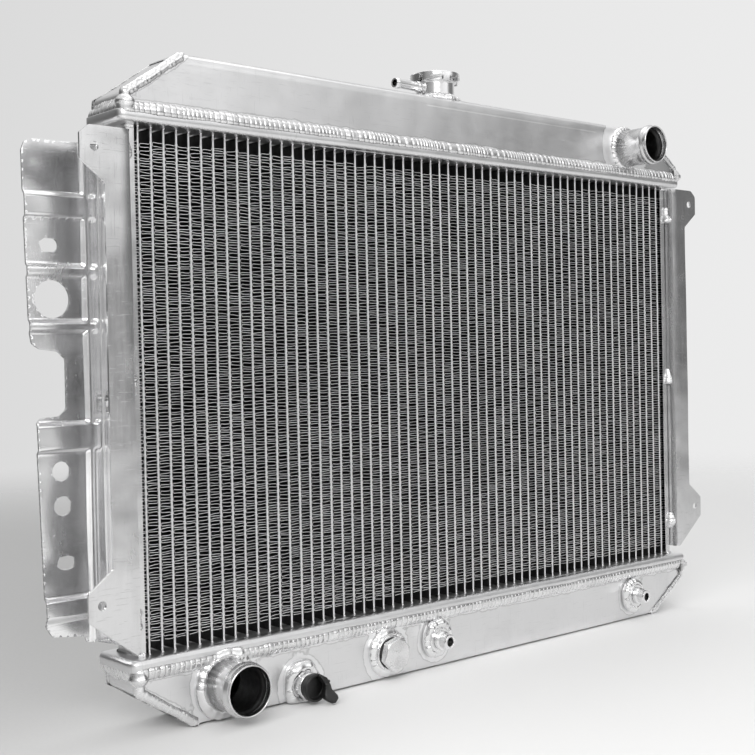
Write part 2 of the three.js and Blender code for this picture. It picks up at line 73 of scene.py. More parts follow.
TUBE_PITCH = 11.5
TUBE_THICK = 2.0
TUBE_COUNT = int(round((TUBE_HIGH[0] - TUBE_LOW[0] - TUBE_THICK) / TUBE_PITCH)) + 1
FIRST_TUBE = TUBE_LOW[0] + TUBE_THICK / 2
FIN_PITCH = 2.4
FIN_THICK = 0.38
COLUMNS_A_PIECE = 20
TANK_X = 346.0
TANK_Y = TOP_TANK_HIGH[1]
TANK_SHEET = 2.5
TANK_FLAT = 292.5
TANK_BEND = 4.5
TOP_Z = TOP_TANK_HIGH[2]
TOP_SHOULDER = 489.0
LOW_SHOULDER = 35.0
HEADER_X = TOP_HEADER_HIGH[0]
HEADER_Y = TOP_HEADER_HIGH[1]
BRACKET_WEB = 340.6
BRACKET_SHEET = 2.0
SEAM_RISE = 9.5
WELD_FLOOR = 0.25
SMOOTH_PITCH = 6
FAR = 1000.0
FORWARD = (0, -1, 0)
CORNERS = ((1, 1, 0), (-1, 1, 90), (-1, -1, 180), (1, -1, 270))


# ---------- mesh helpers ----------
def make_object(name, verts, faces, materials, body=BODY, slot="tank_sheet", indices=None, smooth=True):
    mesh = bpy.data.meshes.new(name)
    mesh.from_pydata((np.asarray(verts, float) * MM).tolist(), [], faces)
    mesh.validate()
    obj = bpy.data.objects.new(name, mesh)
    bpy.context.scene.collection.objects.link(obj)
    for material in materials:
        mesh.materials.append(material)
    if indices is not None:
        mesh.polygons.foreach_set("material_index", np.asarray(indices, np.int32))
    mesh.polygons.foreach_set("use_smooth", np.full(len(mesh.polygons), smooth))
    mesh.update()
    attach(obj, body)
    return obj


def store(obj, name, values):
    attribute = obj.data.attributes.new(name, "FLOAT", "POINT")
    attribute.data.foreach_set("value", np.asarray(values, np.float32))


def bevel(obj, width, angle=50):
    modifier = obj.modifiers.new("edge", "BEVEL")
    modifier.width = width * MM
    modifier.segments = 2
    modifier.limit_method = "ANGLE"
    modifier.angle_limit = math.radians(angle)
    normals = obj.modifiers.new("normals", "WEIGHTED_NORMAL")
    normals.weight = 60


def quads(rows, columns, close_rows=False, close_columns=False, flip=False):
    """Faces of a grid of points numbered row by row."""
    faces = []
    for i in range(rows if close_rows else rows - 1):
        for j in range(columns if close_columns else columns - 1):
            here, there = i * columns, (i + 1) % rows * columns
            after = (j + 1) % columns
            face = (here + j, here + after, there + after, there + j)
            faces.append((face[0], face[3], face[2], face[1]) if flip else face)
    return faces


def fix_normals(obj):
    """Joins points that coincide and turns every face outward."""
    mesh = bmesh.new()
    mesh.from_mesh(obj.data)
    bmesh.ops.remove_doubles(mesh, verts=mesh.verts, dist=1e-7)
    bmesh.ops.recalc_face_normals(mesh, faces=mesh.faces)
    mesh.to_mesh(obj.data)
    mesh.free()


class Mesh:
    """Collects several grids and loops into one mesh."""

    def __init__(self):
        self.verts = []
        self.faces = []
        self.indices = []
        self.shade = []

    def add(self, verts, faces, index=0):
        base = len(self.verts)
        self.verts.extend(np.asarray(verts, float).tolist())
        self.faces.extend([tuple(base + k for k in face) for face in faces])
        self.indices.extend([index] * len(faces))

    def grid(self, points, close_rows=False, close_columns=False, flip=False):
        points = np.asarray(points, float)
        rows, columns = points.shape[:2]
        self.add(points.reshape(-1, 3), quads(rows, columns, close_rows, close_columns, flip))

    def cap(self, *loops):
        for loop in loops:
            self.add(loop, [tuple(range(len(loop)))])

    def tube(self, rows):
        """Closed loops joined row to row, and capped at both ends."""
        self.grid(rows, close_columns=True)
        self.cap(rows[0], rows[-1])

    def build(self, name, materials, replaces=None, **extra):
        obj = make_object(name, self.verts, self.faces, materials, indices=self.indices, **extra)
        # Carries the beads' painted shade (darker ripple valleys and bead edges) to the weld material.
        if self.shade:
            store(obj, "ripple_and_shade", self.shade)
        fix_normals(obj)
        if replaces:
            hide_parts(replaces)
        return obj


def unit(rows):
    return rows / np.linalg.norm(rows, axis=1)[:, None]


def run_length(path):
    """Distance along a path to each of its points."""
    return np.concatenate([[0], np.cumsum(np.linalg.norm(np.diff(path, axis=0), axis=1))])


def rounded_loop(points, radius, steps=5):
    """Rounds every corner of a closed outline; radius may be one number or one for each corner."""
    points = [np.array(p, float) for p in points]
    count = len(points)
    radii = [radius] * count if np.isscalar(radius) else list(radius)
    result = []
    for i, corner in enumerate(points):
        before = points[i - 1] - corner
        after = points[(i + 1) % count] - corner
        room = 0.48 * min(np.linalg.norm(before), np.linalg.norm(after))
        before = before / np.linalg.norm(before)
        after = after / np.linalg.norm(after)
        half = math.acos(max(-1.0, min(1.0, float(before @ after)))) / 2
        if radii[i] <= 0 or half > math.radians(88):
            result.append(corner)
            continue
        reach = min(radii[i] / math.tan(half), room)
        start, end = corner + before * reach, corner + after * reach
        for k in range(steps + 1):
            t = k / steps
            result.append((1 - t) ** 2 * start + 2 * t * (1 - t) * corner + t**2 * end)
    return np.array(result)


def densify(loop, step, closed=True):
    loop = np.asarray(loop, float)
    result = []
    count = len(loop)
    for i in range(count if closed else count - 1):
        a, b = loop[i], loop[(i + 1) % count]
        pieces = max(1, int(round(np.linalg.norm(b - a) / step)))
        for k in range(pieces):
            result.append(a + (b - a) * k / pieces)
    if not closed:
        result.append(loop[-1])
    return np.array(result)


def circle(cx, cy, radius, steps=40):
    angles = np.linspace(0, 2 * math.pi, steps, endpoint=False)
    return np.stack([cx + radius * np.cos(angles), cy + radius * np.sin(angles)], 1)


def stadium(cx, cy, half_wide, half_high, steps=10):
    points = []
    reach = half_wide - half_high
    for side, start in ((1, -90), (-1, 90)):
        for k in range(steps + 1):
            angle = math.radians(start + 180 * k / steps)
            x = cx + side * reach + half_high * math.cos(angle)
            points.append((x, cy + half_high * math.sin(angle)))
    return np.array(points)


def inside(loop, points):
    x, y = points[:, 0], points[:, 1]
    result = np.zeros(len(points), bool)
    count = len(loop)
    for i in range(count):
        x0, y0 = loop[i]
        x1, y1 = loop[(i + 1) % count]
        if y0 == y1:
            continue
        crosses = (y0 > y) != (y1 > y)
        result ^= crosses & (x < (x1 - x0) * (y - y0) / (y1 - y0) + x0)
    return result


def flat_triangles(outline, holes, step):
    """Triangles over an outline with holes, with points on a grid inside it."""
    loops = [densify(loop, step) for loop in [outline, *holes]]
    rim = np.concatenate(loops)
    low, high = loops[0].min(0), loops[0].max(0)
    xs = np.arange(low[0] + step / 2, high[0], step)
    ys = np.arange(low[1] + step / 2, high[1], step)
    grid = np.stack(np.meshgrid(xs, ys), -1).reshape(-1, 2)
    keep = inside(loops[0], grid)
    for hole in loops[1:]:
        keep &= ~inside(hole, grid)
    grid = grid[keep]
    near = np.full(len(grid), np.inf)
    for start in range(0, len(rim), 400):
        gap = np.linalg.norm(grid[:, None] - rim[None, start : start + 400], axis=2).min(1)
        near = np.minimum(near, gap)
    grid = grid[near > 0.45 * step]
    points = [Vector(p) for p in np.concatenate([rim, grid])]
    edges = []
    base = 0
    for loop in loops:
        count = len(loop)
        edges.extend((base + k, base + (k + 1) % count) for k in range(count))
        base += count
    verts, _, faces, _, _, _ = delaunay_2d_cdt(points, edges, [], 0, 1e-6)
    verts = np.array([tuple(v) for v in verts])
    middles = np.array([verts[list(f)].mean(0) for f in faces])
    keep = inside(loops[0], middles)
    for hole in loops[1:]:
        keep &= ~inside(hole, middles)
    return verts, [tuple(f) for f, kept in zip(faces, keep) if kept]


def sheet(name, node, outline, holes, place, thick, material, step, edge=0.45, slot="side_sheet"):
    """Sheet metal: a flat outline with holes, carried by place() onto the outer surface, then thickened."""
    flat, triangles = flat_triangles(outline, holes, step)
    points, normals = place(flat[:, 0], flat[:, 1])
    count = len(flat)
    a, b, c = (points[[t[k] for t in triangles]] for k in range(3))
    first = np.array([t[0] for t in triangles])
    facing = np.einsum("ij,ij->i", np.cross(b - a, c - a), normals[first])
    front = [t if f > 0 else (t[0], t[2], t[1]) for t, f in zip(triangles, facing)]
    back = [(t[0] + count, t[2] + count, t[1] + count) for t in front]
    used = dict.fromkeys((t[k], t[(k + 1) % 3]) for t in front for k in range(3))
    rim = [(j, i, i + count, j + count) for (i, j) in used if (j, i) not in used]
    verts = np.concatenate([points, points - normals * thick])
    obj = make_object(name, verts, front + back + rim, [material], slot=slot)
    bevel(obj, edge)
    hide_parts(node)
    return obj


def spokes(axis, count):
    """Unit vectors square to an axis, evenly round it."""
    helper = np.array([0, 0, 1.0]) if abs(axis[2]) < 0.9 else np.array([1.0, 0, 0])
    side = np.cross(helper, axis)
    side /= np.linalg.norm(side)
    up = np.cross(axis, side)
    angles = [2 * math.pi * k / count for k in range(count)]
    return [side * math.cos(angle) + up * math.sin(angle) for angle in angles]


def lathe(profile, centre, axis, segments=96):
    """Turns a profile of (radius, distance along axis) about an axis through centre, as a grid of points."""
    axis = np.array(axis, float)
    centre = np.array(centre)
    return np.array([[centre + axis * d + ray * r for r, d in profile] for ray in spokes(axis, segments)])


def turned(name, node, profile, centre, axis, materials, segments=96, body=BODY, slot="machined"):
    """A hollow turned piece that stands for a node; its profile is a closed loop."""
    mesh = Mesh()
    mesh.grid(lathe(profile, centre, axis, segments), close_rows=True, close_columns=True)
    return mesh.build(name, materials, replaces=node, body=body, slot=slot)


def round_profile(points, radius, steps=4):
    """Rounds the corners of a closed turned profile."""
    return [tuple(p) for p in rounded_loop(points, radius, steps)]


# ---------- materials ----------
class Nodes:
    """Shorthand for making and linking the nodes of one shader tree."""

    def __init__(self, tree):
        self.tree = tree
        tree.nodes.clear()

    def put(self, value, socket):
        if isinstance(value, bpy.types.NodeSocket):
            self.tree.links.new(value, socket)
        else:
            socket.default_value = value

    def node(self, kind, inputs=(), **settings):
        """Makes a node and sets, or links, each of the inputs given by name or number."""
        made = self.tree.nodes.new("ShaderNode" + kind)
        for key, value in settings.items():
            setattr(made, key, value)
        for key, value in dict(inputs).items():
            self.put(value, made.inputs[key])
        return made

    def axes(self, vector):
        return tuple(self.node("SeparateXYZ", {0: vector}).outputs)


class Shade(Nodes):
    """A material with a Principled shader, and the textures and sums that feed it."""

    def __init__(self, name, metallic=1.0):
        self.material = bpy.data.materials.new(name)
        self.material.use_nodes = True
        super().__init__(self.material.node_tree)
        self.shader = self.node("BsdfPrincipled", {"Metallic": metallic})
        self.out = self.node("OutputMaterial", {"Surface": self.shader.outputs["BSDF"]})
        self.where = self.node("TexCoord").outputs["Object"]

    def placed(self, offset=(0, 0, 0), stretch=(1, 1, 1)):
        inputs = {"Vector": self.where, "Location": offset, "Scale": stretch}
        return self.node("Mapping", inputs).outputs["Vector"]

    def noise(self, scale, detail=2.0, rough=0.5, stretch=(1, 1, 1), offset=(0, 0, 0), distortion=0.0):
        inputs = {"Vector": self.placed(offset, stretch), "Scale": scale, "Detail": detail}
        inputs.update({"Roughness": rough, "Distortion": distortion})
        return self.node("TexNoise", inputs).outputs["Fac"]

    def wave(self, kind, axis, scale, distortion=0.0, centre=(0, 0, 0)):
        """Rings about an axis, or bands along it."""
        place = self.placed([-c * MM for c in centre])
        settings = {"wave_type": kind, kind.lower() + "_direction": axis}
        inputs = {"Vector": place, "Scale": scale, "Distortion": distortion}
        return self.node("TexWave", inputs, **settings).outputs["Fac"]

    def spread(self, value, from_low, from_high, to_low=0.0, to_high=1.0, smooth=False):
        """Carries one range of a value onto another, clamped at both ends."""
        inputs = {"Value": value, "From Min": from_low, "From Max": from_high}
        inputs.update({"To Min": to_low, "To Max": to_high})
        kind = "SMOOTHSTEP" if smooth else "LINEAR"
        return self.node("MapRange", inputs, interpolation_type=kind).outputs["Result"]

    def math(self, operation, *values):
        return self.node("Math", enumerate(values), operation=operation).outputs[0]

    def times(self, a, b):
        return self.math("MULTIPLY", a, b)

    def plus(self, base, value, share):
        """base + value * share."""
        return self.math("MULTIPLY_ADD", value, share, base)

    def mix(self, factor, a, b):
        return self.node("Mix", {0: factor, 2: a, 3: b}, data_type="FLOAT").outputs[0]

    def attribute(self, name):
        return self.node("Attribute", attribute_name=name).outputs["Fac"]

    def bump(self, height, distance, strength=1.0, after=None):
        made = self.node("Bump", {"Height": height, "Distance": distance, "Strength": strength})
        if after is not None:
            self.put(after, made.inputs["Normal"])
        return made.outputs["Normal"]

    def finish(self, tone, roughness, normal):
        """A near-neutral grey, very slightly blue."""
        grey = self.node("CombineColor", {"Red": tone, "Green": tone, "Blue": self.times(tone, 1.006)})
        results = {"Base Color": grey.outputs[0], "Roughness": roughness, "Normal": normal}
        for key, value in results.items():
            self.put(value, self.shader.inputs[key])
        return self.material


def aluminium(name, colour, roughness, grain, grain_depth=3e-5, heat=False, marks=0.5):
    """Satin sheet aluminium: rolled grain, soft unevenness, handling marks and, if asked, the welds' heat."""
    s = Shade(name)
    cloud = s.noise(9, 3, 0.55)
    fine = s.noise(420, 3, 0.6, stretch=grain)
    smudge = s.spread(s.noise(26, 4, 0.6, distortion=0.6), 0.5, 0.78, smooth=True)
    upright = s.spread(s.noise(60, 2, 0.5, stretch=(1.0, 1.0, 22.0), offset=(3, 1, 2)), 0.66, 0.70)
    sideways = s.spread(s.noise(52, 2, 0.5, stretch=(24.0, 1.0, 1.0), offset=(7, 5, 1)), 0.67, 0.71)
    scratches = s.math("MAXIMUM", upright, sideways)
    tone = s.plus(colour - 0.05, cloud, 0.08)
    tone = s.plus(tone, smudge, -0.06 * marks)
    tone = s.plus(tone, scratches, -0.08 * marks)
    rough = s.plus(roughness - 0.05, cloud, 0.1)
    rough = s.plus(rough, smudge, 0.12 * marks)
    rough = s.plus(rough, s.spread(fine, 0.3, 0.7), 0.06)
    if heat:
        # A bleached zone by each weld, a thin dark line at its edge and a faint soot beyond.
        reach = s.math("ADD", s.attribute("weld_gap"), s.spread(s.noise(95, 3, 0.6), 0.2, 0.8, -1.7, 1.7))
        zone = s.spread(reach, 6.0, 5.2, smooth=True)
        line = s.times(s.spread(reach, 5.0, 5.6), s.spread(reach, 6.5, 5.9))
        patches = s.spread(s.noise(45, 4, 0.6, offset=(2, 2, 2)), 0.5, 0.75)
        soot = s.times(s.spread(reach, 14.0, 6.0), patches)
        tone = s.mix(zone, tone, colour + 0.10)
        rough = s.mix(zone, rough, roughness + 0.20)
        tone = s.plus(tone, line, -0.20)
        tone = s.plus(tone, soot, -0.05)
        # A level scribed line runs along the top tank's front.
        x, _, z = s.axes(s.where)
        height = s.math("ABSOLUTE", s.math("SUBTRACT", z, 0.5150))
        scribe = s.times(s.spread(height, 0.0008, 0.0004), s.spread(x, -0.034, -0.030))
        scribe = s.times(scribe, s.spread(x, 0.212, 0.208))
        tone = s.plus(tone, scribe, 0.22)
    normal = s.bump(s.noise(14, 2, 0.5, offset=(5, 5, 5)), 1.8e-3)
    normal = s.bump(fine, grain_depth, 0.6, normal)
    return s.finish(tone, rough, s.bump(scratches, 4e-5, 0.35, normal))


def weld_metal(name, colour, roughness):
    s = Shade(name)
    cloud = s.noise(60, 4, 0.6)
    fine = s.noise(900, 3, 0.6)
    # Painted shade from the beads: the weld colour drops to 30 % in ripple valleys and towards the bead
    # edges.
    painted_valley_shade = s.spread(s.attribute("ripple_and_shade"), 0.02, 0.55, 0.30, 1.0, smooth=True)
    tone = s.times(s.spread(cloud, 0.25, 0.75, colour - 0.10, colour + 0.06), painted_valley_shade)
    patches = s.noise(160, 3, 0.6, offset=(1, 2, 3))
    rough = s.spread(patches, 0.3, 0.7, roughness - 0.08, roughness + 0.14)
    return s.finish(tone, rough, s.bump(fine, 5e-5, 0.5, s.bump(cloud, 2.5e-4, 0.6)))


def turned_metal(name, centre, axis, colour, roughness, rings):
    """Machined aluminium with fine turning rings about its own axis."""
    s = Shade(name)
    cloud = s.noise(40, 3, 0.6)
    tone = s.spread(cloud, 0.25, 0.75, colour - 0.06, colour + 0.05)
    rough = s.spread(cloud, 0.3, 0.7, roughness - 0.04, roughness + 0.08)
    round_it = s.wave("RINGS", axis, rings, 1.2, centre)
    along = s.wave("BANDS", axis, rings * 0.7, 0.8, centre)
    return s.finish(tone, rough, s.bump(s.math("ADD", round_it, along), 3e-5, 0.5))


def faced_metal(name, centre):
    """The faced end of the plug, with rings about its axis that stretch the highlights."""
    s = Shade(name)
    cloud = s.noise(60, 3, 0.6)
    tone = s.spread(cloud, 0.25, 0.75, 0.76, 0.88)
    rough = s.spread(cloud, 0.3, 0.7, 0.2, 0.3)
    s.shader.inputs["Anisotropic"].default_value = 0.6
    return s.finish(tone, rough, s.bump(s.wave("RINGS", "Y", 1100.0, 0.6, centre), 4e-5, 0.7))


def dull_metal(name, colour, roughness):
    """Dull metal with fine louvres across it; the dark tones given to it for fin sheets, tube walls and bores
    are painted shade.
    """
    s = Shade(name)
    tone = s.spread(s.noise(45, 4, 0.65), 0.3, 0.7, colour * 0.75, colour * 1.25)
    rough = s.spread(s.noise(300, 2, 0.5), 0.3, 0.7, roughness - 0.08, roughness + 0.1)
    return s.finish(tone, rough, s.bump(s.wave("BANDS", "Y", 180.0), 2e-4, 0.6))


def moulded(name, colour, roughness):
    s = Shade(name, metallic=0.0)
    cloud = s.noise(60, 3, 0.6)
    tone = s.spread(cloud, 0.3, 0.7, colour * 0.7, colour * 1.4)
    rough = s.spread(cloud, 0.3, 0.7, roughness - 0.05, roughness + 0.08)
    return s.finish(tone, rough, s.bump(s.noise(1500, 3, 0.6), 3e-5, 0.5))


TANK = aluminium("tank_aluminium", 0.80, 0.30, grain=(0.15, 1, 1), heat=True, marks=0.8)
HEADER = aluminium("header_aluminium", 0.78, 0.30, grain=(0.15, 1, 1), marks=0.9)
SIDE = aluminium("side_aluminium", 0.70, 0.18, grain=(1, 1, 0.1), marks=0.7)
PRESSED = aluminium("pressed_side_aluminium", 0.90, 0.19, grain=(1, 1, 0.3), grain_depth=6e-6, marks=0.5)
TUBE = aluminium("tube_aluminium", 0.80, 0.36, grain=(1, 1, 0.1), marks=0.3)
WELD = weld_metal("weld_metal", 0.86, 0.24)
GLOSSY_WELD = weld_metal("bung_weld_metal", 0.88, 0.15)
# Painted shade: the fin sheets are near black for the shade deep in the core; their edges keep bright
# aluminium.
PAINTED_SHADE_FIN = dull_metal("fin_sheet_painted_shade", 0.022, 0.5)
FIN_EDGE = dull_metal("fin_edge", 0.88, 0.42)
# Painted shade: the tubes' flat walls, hidden between fins, are near black; their rounded noses keep the tube
# aluminium.
TUBE_WALL_SHADE = dull_metal("tube_flat_painted_shade", 0.05, 0.55)
# Painted shade: the necks' bores are near black for the shade inside them, with a rougher finish.
BORE_SHADE = dull_metal("neck_bore_dull_painted_shade", 0.09, 0.45)
PLASTIC = moulded("black_moulding", 0.005, 0.32)
RUBBER = moulded("seal_black_rubber", 0.02, 0.6)


# ---------- core ----------
def build_tubes():
    noise = random.Random(11)
    half_depth = (TUBE_HIGH[1] - TUBE_LOW[1]) / 2
    radius = TUBE_THICK / 2
    section = []
    for side in (-1, 1):
        for k in range(7):
            angle = math.radians(-90 + 30 * k)
            dx = radius * math.sin(angle)
            dy = (half_depth - radius) + radius * math.cos(angle)
            section.append((side * -dx, side * dy))
    section = np.array(section)
    steps = np.linspace(TUBE_LOW[2], TUBE_HIGH[2], 30)
    mesh = Mesh()
    for i in range(TUBE_COUNT):
        x = FIRST_TUBE + i * TUBE_PITCH
        phase, swing = noise.uniform(0, 6), noise.uniform(0.04, 0.12)
        rows = []
        for z in steps:
            sway = swing * math.sin(z / 61 + phase)
            push = swing * 0.8 * math.sin(z / 37 + phase * 2)
            rows.append([(x + sx + sway, sy + push, z) for sx, sy in section])
        count = len(section)
        base = len(mesh.verts)
        mesh.grid(rows, close_columns=True, flip=True)
        # The two flat walls of each tube take the near-black painted-shade material.
        for k in range(len(mesh.faces) - (len(rows) - 1) * count, len(mesh.faces)):
            if (mesh.faces[k][0] - base) % count in (6, 13):
                mesh.indices[k] = 1
        mesh.cap(rows[0], rows[-1])
    mesh.build("core_tubes", [TUBE, TUBE_WALL_SHADE], replaces="tube_bank", slot="tube")


def fin_path(x, noise, half, low, high):
    """One folded strip seen end on: near-level passes joined by round loops at the tube walls."""
    path = []
    z = low + noise.uniform(0, 1)
    side = 1 if noise.random() < 0.5 else -1
    tilt = noise.uniform(-0.1, 0.1)
    while z < high:
        gap = FIN_PITCH * noise.uniform(0.7, 1.3)
        lean = tilt + noise.uniform(-0.42, 0.42)
        sag = noise.uniform(-0.26, 0.26)
        loop = gap / 2
        flat = half - loop * 0.9
        path.append((x - side * flat, z - lean))
        path.append((x, z + sag))
        path.append((x + side * flat, z + lean * 0.6))
        path.append((x + side * (half - loop * 0.2), z + loop * 0.45))
        path.append((x + side * half, z + loop))
        path.append((x + side * (half - loop * 0.2), z + gap - loop * 0.45))
        z += gap
        side = -side
    return np.array(path)


def build_fins():
    noise = random.Random(5)
    half = (TUBE_PITCH - TUBE_THICK) / 2 - 0.02
    low, high = FIN_LOW[2] + 0.3, FIN_HIGH[2] - 1.6
    front, rear = FIN_LOW[1], 12.9
    columns = TUBE_COUNT + 1
    for start in range(0, columns, COLUMNS_A_PIECE):
        mesh_verts = []
        mesh_faces = []
        indices = []
        for i in range(start, min(start + COLUMNS_A_PIECE, columns)):
            x = FIRST_TUBE - TUBE_PITCH / 2 + i * TUBE_PITCH
            path = fin_path(x, noise, half, low, high)
            along = unit(np.gradient(path, axis=0))
            normal = np.stack([-along[:, 1], along[:, 0]], 1) * FIN_THICK / 2
            over, under = path + normal, path - normal
            count = len(path)
            inset = noise.uniform(0.0, 0.5)
            corners = ((over, front + inset), (over, rear), (under, rear), (under, front + inset))
            ring = np.stack([np.insert(edge, 1, y, axis=1) for edge, y in corners], 1)
            base = len(mesh_verts)
            mesh_verts.extend(ring.reshape(-1, 3).tolist())
            grid = np.arange(count - 1) * 4
            for k in range(4):
                n = (k + 1) % 4
                block = np.stack([grid + k, grid + n, grid + n + 4, grid + k + 4], 1) + base
                mesh_faces.extend(map(tuple, block.tolist()))
                # Faces along the fin sheets take the near-black painted-shade material; the front and rear
                # edges take bright aluminium.
                indices.extend([1 if k in (1, 3) else 0] * (count - 1))
            mesh_faces.append((base, base + 3, base + 2, base + 1))
            mesh_faces.append(tuple(base + 4 * (count - 1) + k for k in range(4)))
            indices.extend([0, 0])
        name = f"fin_columns_{start // COLUMNS_A_PIECE + 1}"
        look = {"slot": "fin", "indices": indices, "smooth": False}
        make_object(name, mesh_verts, mesh_faces, [PAINTED_SHADE_FIN, FIN_EDGE], **look)
    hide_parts("fin_pack")


def header_points(inset, z, corner=8, straight_x=44, straight_y=4):
    """The same number of points on every loop, so that loops join row to row."""
    radius = max(0.5, 7.0 - inset)
    hx, hy = HEADER_X - inset - radius, HEADER_Y - inset - radius
    points = []
    corners = ((hx, hy, 0), (-hx, hy, 90), (-hx, -hy, 180), (hx, -hy, 270))
    for index, (cx, cy, start) in enumerate(corners):
        for k in range(corner + 1):
            angle = math.radians(start + 90 * k / corner)
            points.append((cx + radius * math.cos(angle), cy + radius * math.sin(angle), z))
        nx, ny, after = corners[(index + 1) % 4]
        angle = math.radians(after)
        end = np.array((nx + radius * math.cos(angle), ny + radius * math.sin(angle), z))
        begin = np.array(points[-1])
        pieces = straight_x if index % 2 == 0 else straight_y
        for k in range(1, pieces):
            points.append(tuple(begin + (end - begin) * k / pieces))
    return points


def build_headers():
    bend, thick = 4.2, 2.0

    def curl(radius, angle):
        angle = math.radians(angle)
        return bend - radius * math.cos(angle), bend - radius * math.sin(angle)

    for name, node, plate, edge in (
        ("top_header_tray", "top_header", TOP_HEADER_LOW[2], TOP_HEADER_HIGH[2]),
        ("bottom_header_tray", "bottom_header", LOW_HEADER_HIGH[2], LOW_HEADER_LOW[2]),
    ):
        sign = 1 if edge > plate else -1
        inner = [curl(bend - thick, 90 - 22.5 * k) for k in range(5)]
        outer = [curl(bend, 11.25 * k) for k in range(9)]
        lip = [(1.0, 0.9), (0.8, 0.2), (0.5, 0.0), (0.2, 0.2), (0.0, 0.9)]
        profile = [(9.0, plate + sign * thick)]
        profile += [(inset, plate + sign * rise) for inset, rise in inner]
        profile += [(thick * part, edge - sign * drop) for part, drop in lip]
        profile += [(inset, plate + sign * rise) for inset, rise in outer]
        profile.append((9.0, plate))
        wobble = random.Random(len(node))
        phases = [wobble.uniform(0, 6) for _ in range(2)]
        rows = []
        for inset, z in profile:
            loop = np.array(header_points(inset, z))
            x = loop[:, 0]
            loop[:, 2] += 0.18 * np.sin(x / 47 + phases[0]) + 0.1 * np.sin(x / 19 + phases[1])
            rows.append(loop)
        mesh = Mesh()
        mesh.tube(rows)
        # A low brazed collar stands round every tube where it meets the plate.
        half_depth = (TUBE_HIGH[1] - TUBE_LOW[1]) / 2
        for i in range(TUBE_COUNT):
            x = FIRST_TUBE + i * TUBE_PITCH
            rings = []
            for grow, rise in ((0.9, -0.3), (0.8, 0.08), (0.4, 0.3), (0.15, 0.8), (-0.2, 1.0)):
                loop = stadium(0, 0, half_depth + grow, TUBE_THICK / 2 + grow * 0.8, 5)
                rings.append([(x + v, u, plate - sign * rise) for u, v in loop])
            mesh.grid(rings, close_columns=True)
        mesh.build(name, [HEADER], replaces=node, slot="header_sheet")


# ---------- tanks ----------
class TankForm:
    """Maps a flat strip (x, s) onto the bent front, top and rear of a tank."""

    def __init__(self, seat, flat_z, shoulder):
        self.sign = 1 if flat_z > seat else -1
        self.seat = seat
        self.flat_z = flat_z
        self.shoulder = shoulder
        self.wall = abs(flat_z - seat) - TANK_BEND
        self.arc = TANK_BEND * math.pi / 2
        self.length = 2 * (self.wall + self.arc + TANK_Y - TANK_BEND)

    def half_width(self, z):
        over = (z - self.shoulder) * self.sign
        rise = abs(self.flat_z - self.shoulder)
        if over <= 0:
            return TANK_X
        return TANK_X - over * (TANK_X - TANK_FLAT) / rise

    def section(self, s):
        """Depth, height and facing of the outer face, at distance s up the front, over the flat and down."""
        side = -1.0 if s < self.length / 2 else 1.0
        s = min(s, self.length - s)
        if s < self.wall:
            return side * TANK_Y, s, side, 0.0
        turn = min((s - self.wall) / TANK_BEND, math.pi / 2)
        over = max(0.0, s - self.wall - self.arc)
        y = TANK_Y - TANK_BEND + TANK_BEND * math.cos(turn) - over
        return side * y, self.wall + TANK_BEND * math.sin(turn), side * math.cos(turn), math.sin(turn)

    def place(self, u, v):
        y, h, ny, nz = np.array([self.section(float(s)) for s in v]).T
        points = np.stack([u, y, self.seat + self.sign * h], 1)
        normals = np.stack([np.zeros(len(u)), ny, nz * self.sign], 1)
        bulge = 0.35 * np.sin(u / 83 + 1.0) * np.sin(v / 17) + 0.2 * np.sin(u / 31 + 2.0)
        edge = np.clip((TANK_X - np.abs(u)) / 30, 0, 1)
        return points + normals * (bulge * edge)[:, None] * 0.5, normals

    def outline(self):
        right = []
        for s in [0.0, *np.linspace(0.001, self.wall + self.arc, 24)[1:]]:
            z = self.seat + self.sign * self.section(s)[1]
            right.append((self.half_width(z) - 0.6, s))
        right += [(x, self.length - s) for x, s in reversed(right)]
        return right + [(-x, s) for x, s in reversed(right)]


def line_distance(points, a, b):
    a, b = np.array(a, float), np.array(b, float)
    t = np.clip(((points - a) @ (b - a)) / ((b - a) @ (b - a)), 0, 1)
    return np.linalg.norm(points - (a + t[:, None] * (b - a)), axis=1)


def ring_of(node):
    low, high = node_box(node)
    return (low[0] + high[0]) / 2, (low[2] + high[2]) / 2, (high[0] - low[0]) / 2


def weld_gap(obj, form, rings=()):
    """Stores each point's distance from the nearest weld on the tank."""
    verts = np.array([v.co for v in obj.data.vertices]) / MM
    over = (verts[:, 2] - form.seat - form.sign * SEAM_RISE) * form.sign
    gap = np.where(over < 0, 0, np.abs(over))
    front, rear = -TANK_Y, TANK_Y
    for sx in (-1, 1):
        outer, inner = sx * TANK_X, sx * TANK_FLAT
        lines = [((inner, front, form.flat_z), (inner, rear, form.flat_z))]
        for y in (front, rear):
            lines.append(((outer, y, form.seat), (outer, y, form.shoulder)))
            lines.append(((outer, y, form.shoulder), (inner, y, form.flat_z)))
        for a, b in lines:
            gap = np.minimum(gap, line_distance(verts, a, b))
    for x, z, radius in rings:
        ring = np.hypot(verts[:, 0] - x, verts[:, 2] - z) - radius
        gap = np.minimum(gap, np.where(verts[:, 1] < 0, np.maximum(ring, 0), FAR))
    store(obj, "weld_gap", gap)


def flat_hole(form, ring, grow):
    """A round hole through the tank's front, in the flat strip's own coordinates."""
    x, z, radius = ring
    return circle(x, (z - form.seat) * form.sign, radius + grow, 44)


def build_tank(name, node, form, holes, rings):
    flat = form.outline()
    obj = sheet(name, node, flat, holes, form.place, TANK_SHEET, TANK, 4.5, edge=0.6, slot="tank_sheet")
    weld_gap(obj, form, rings)


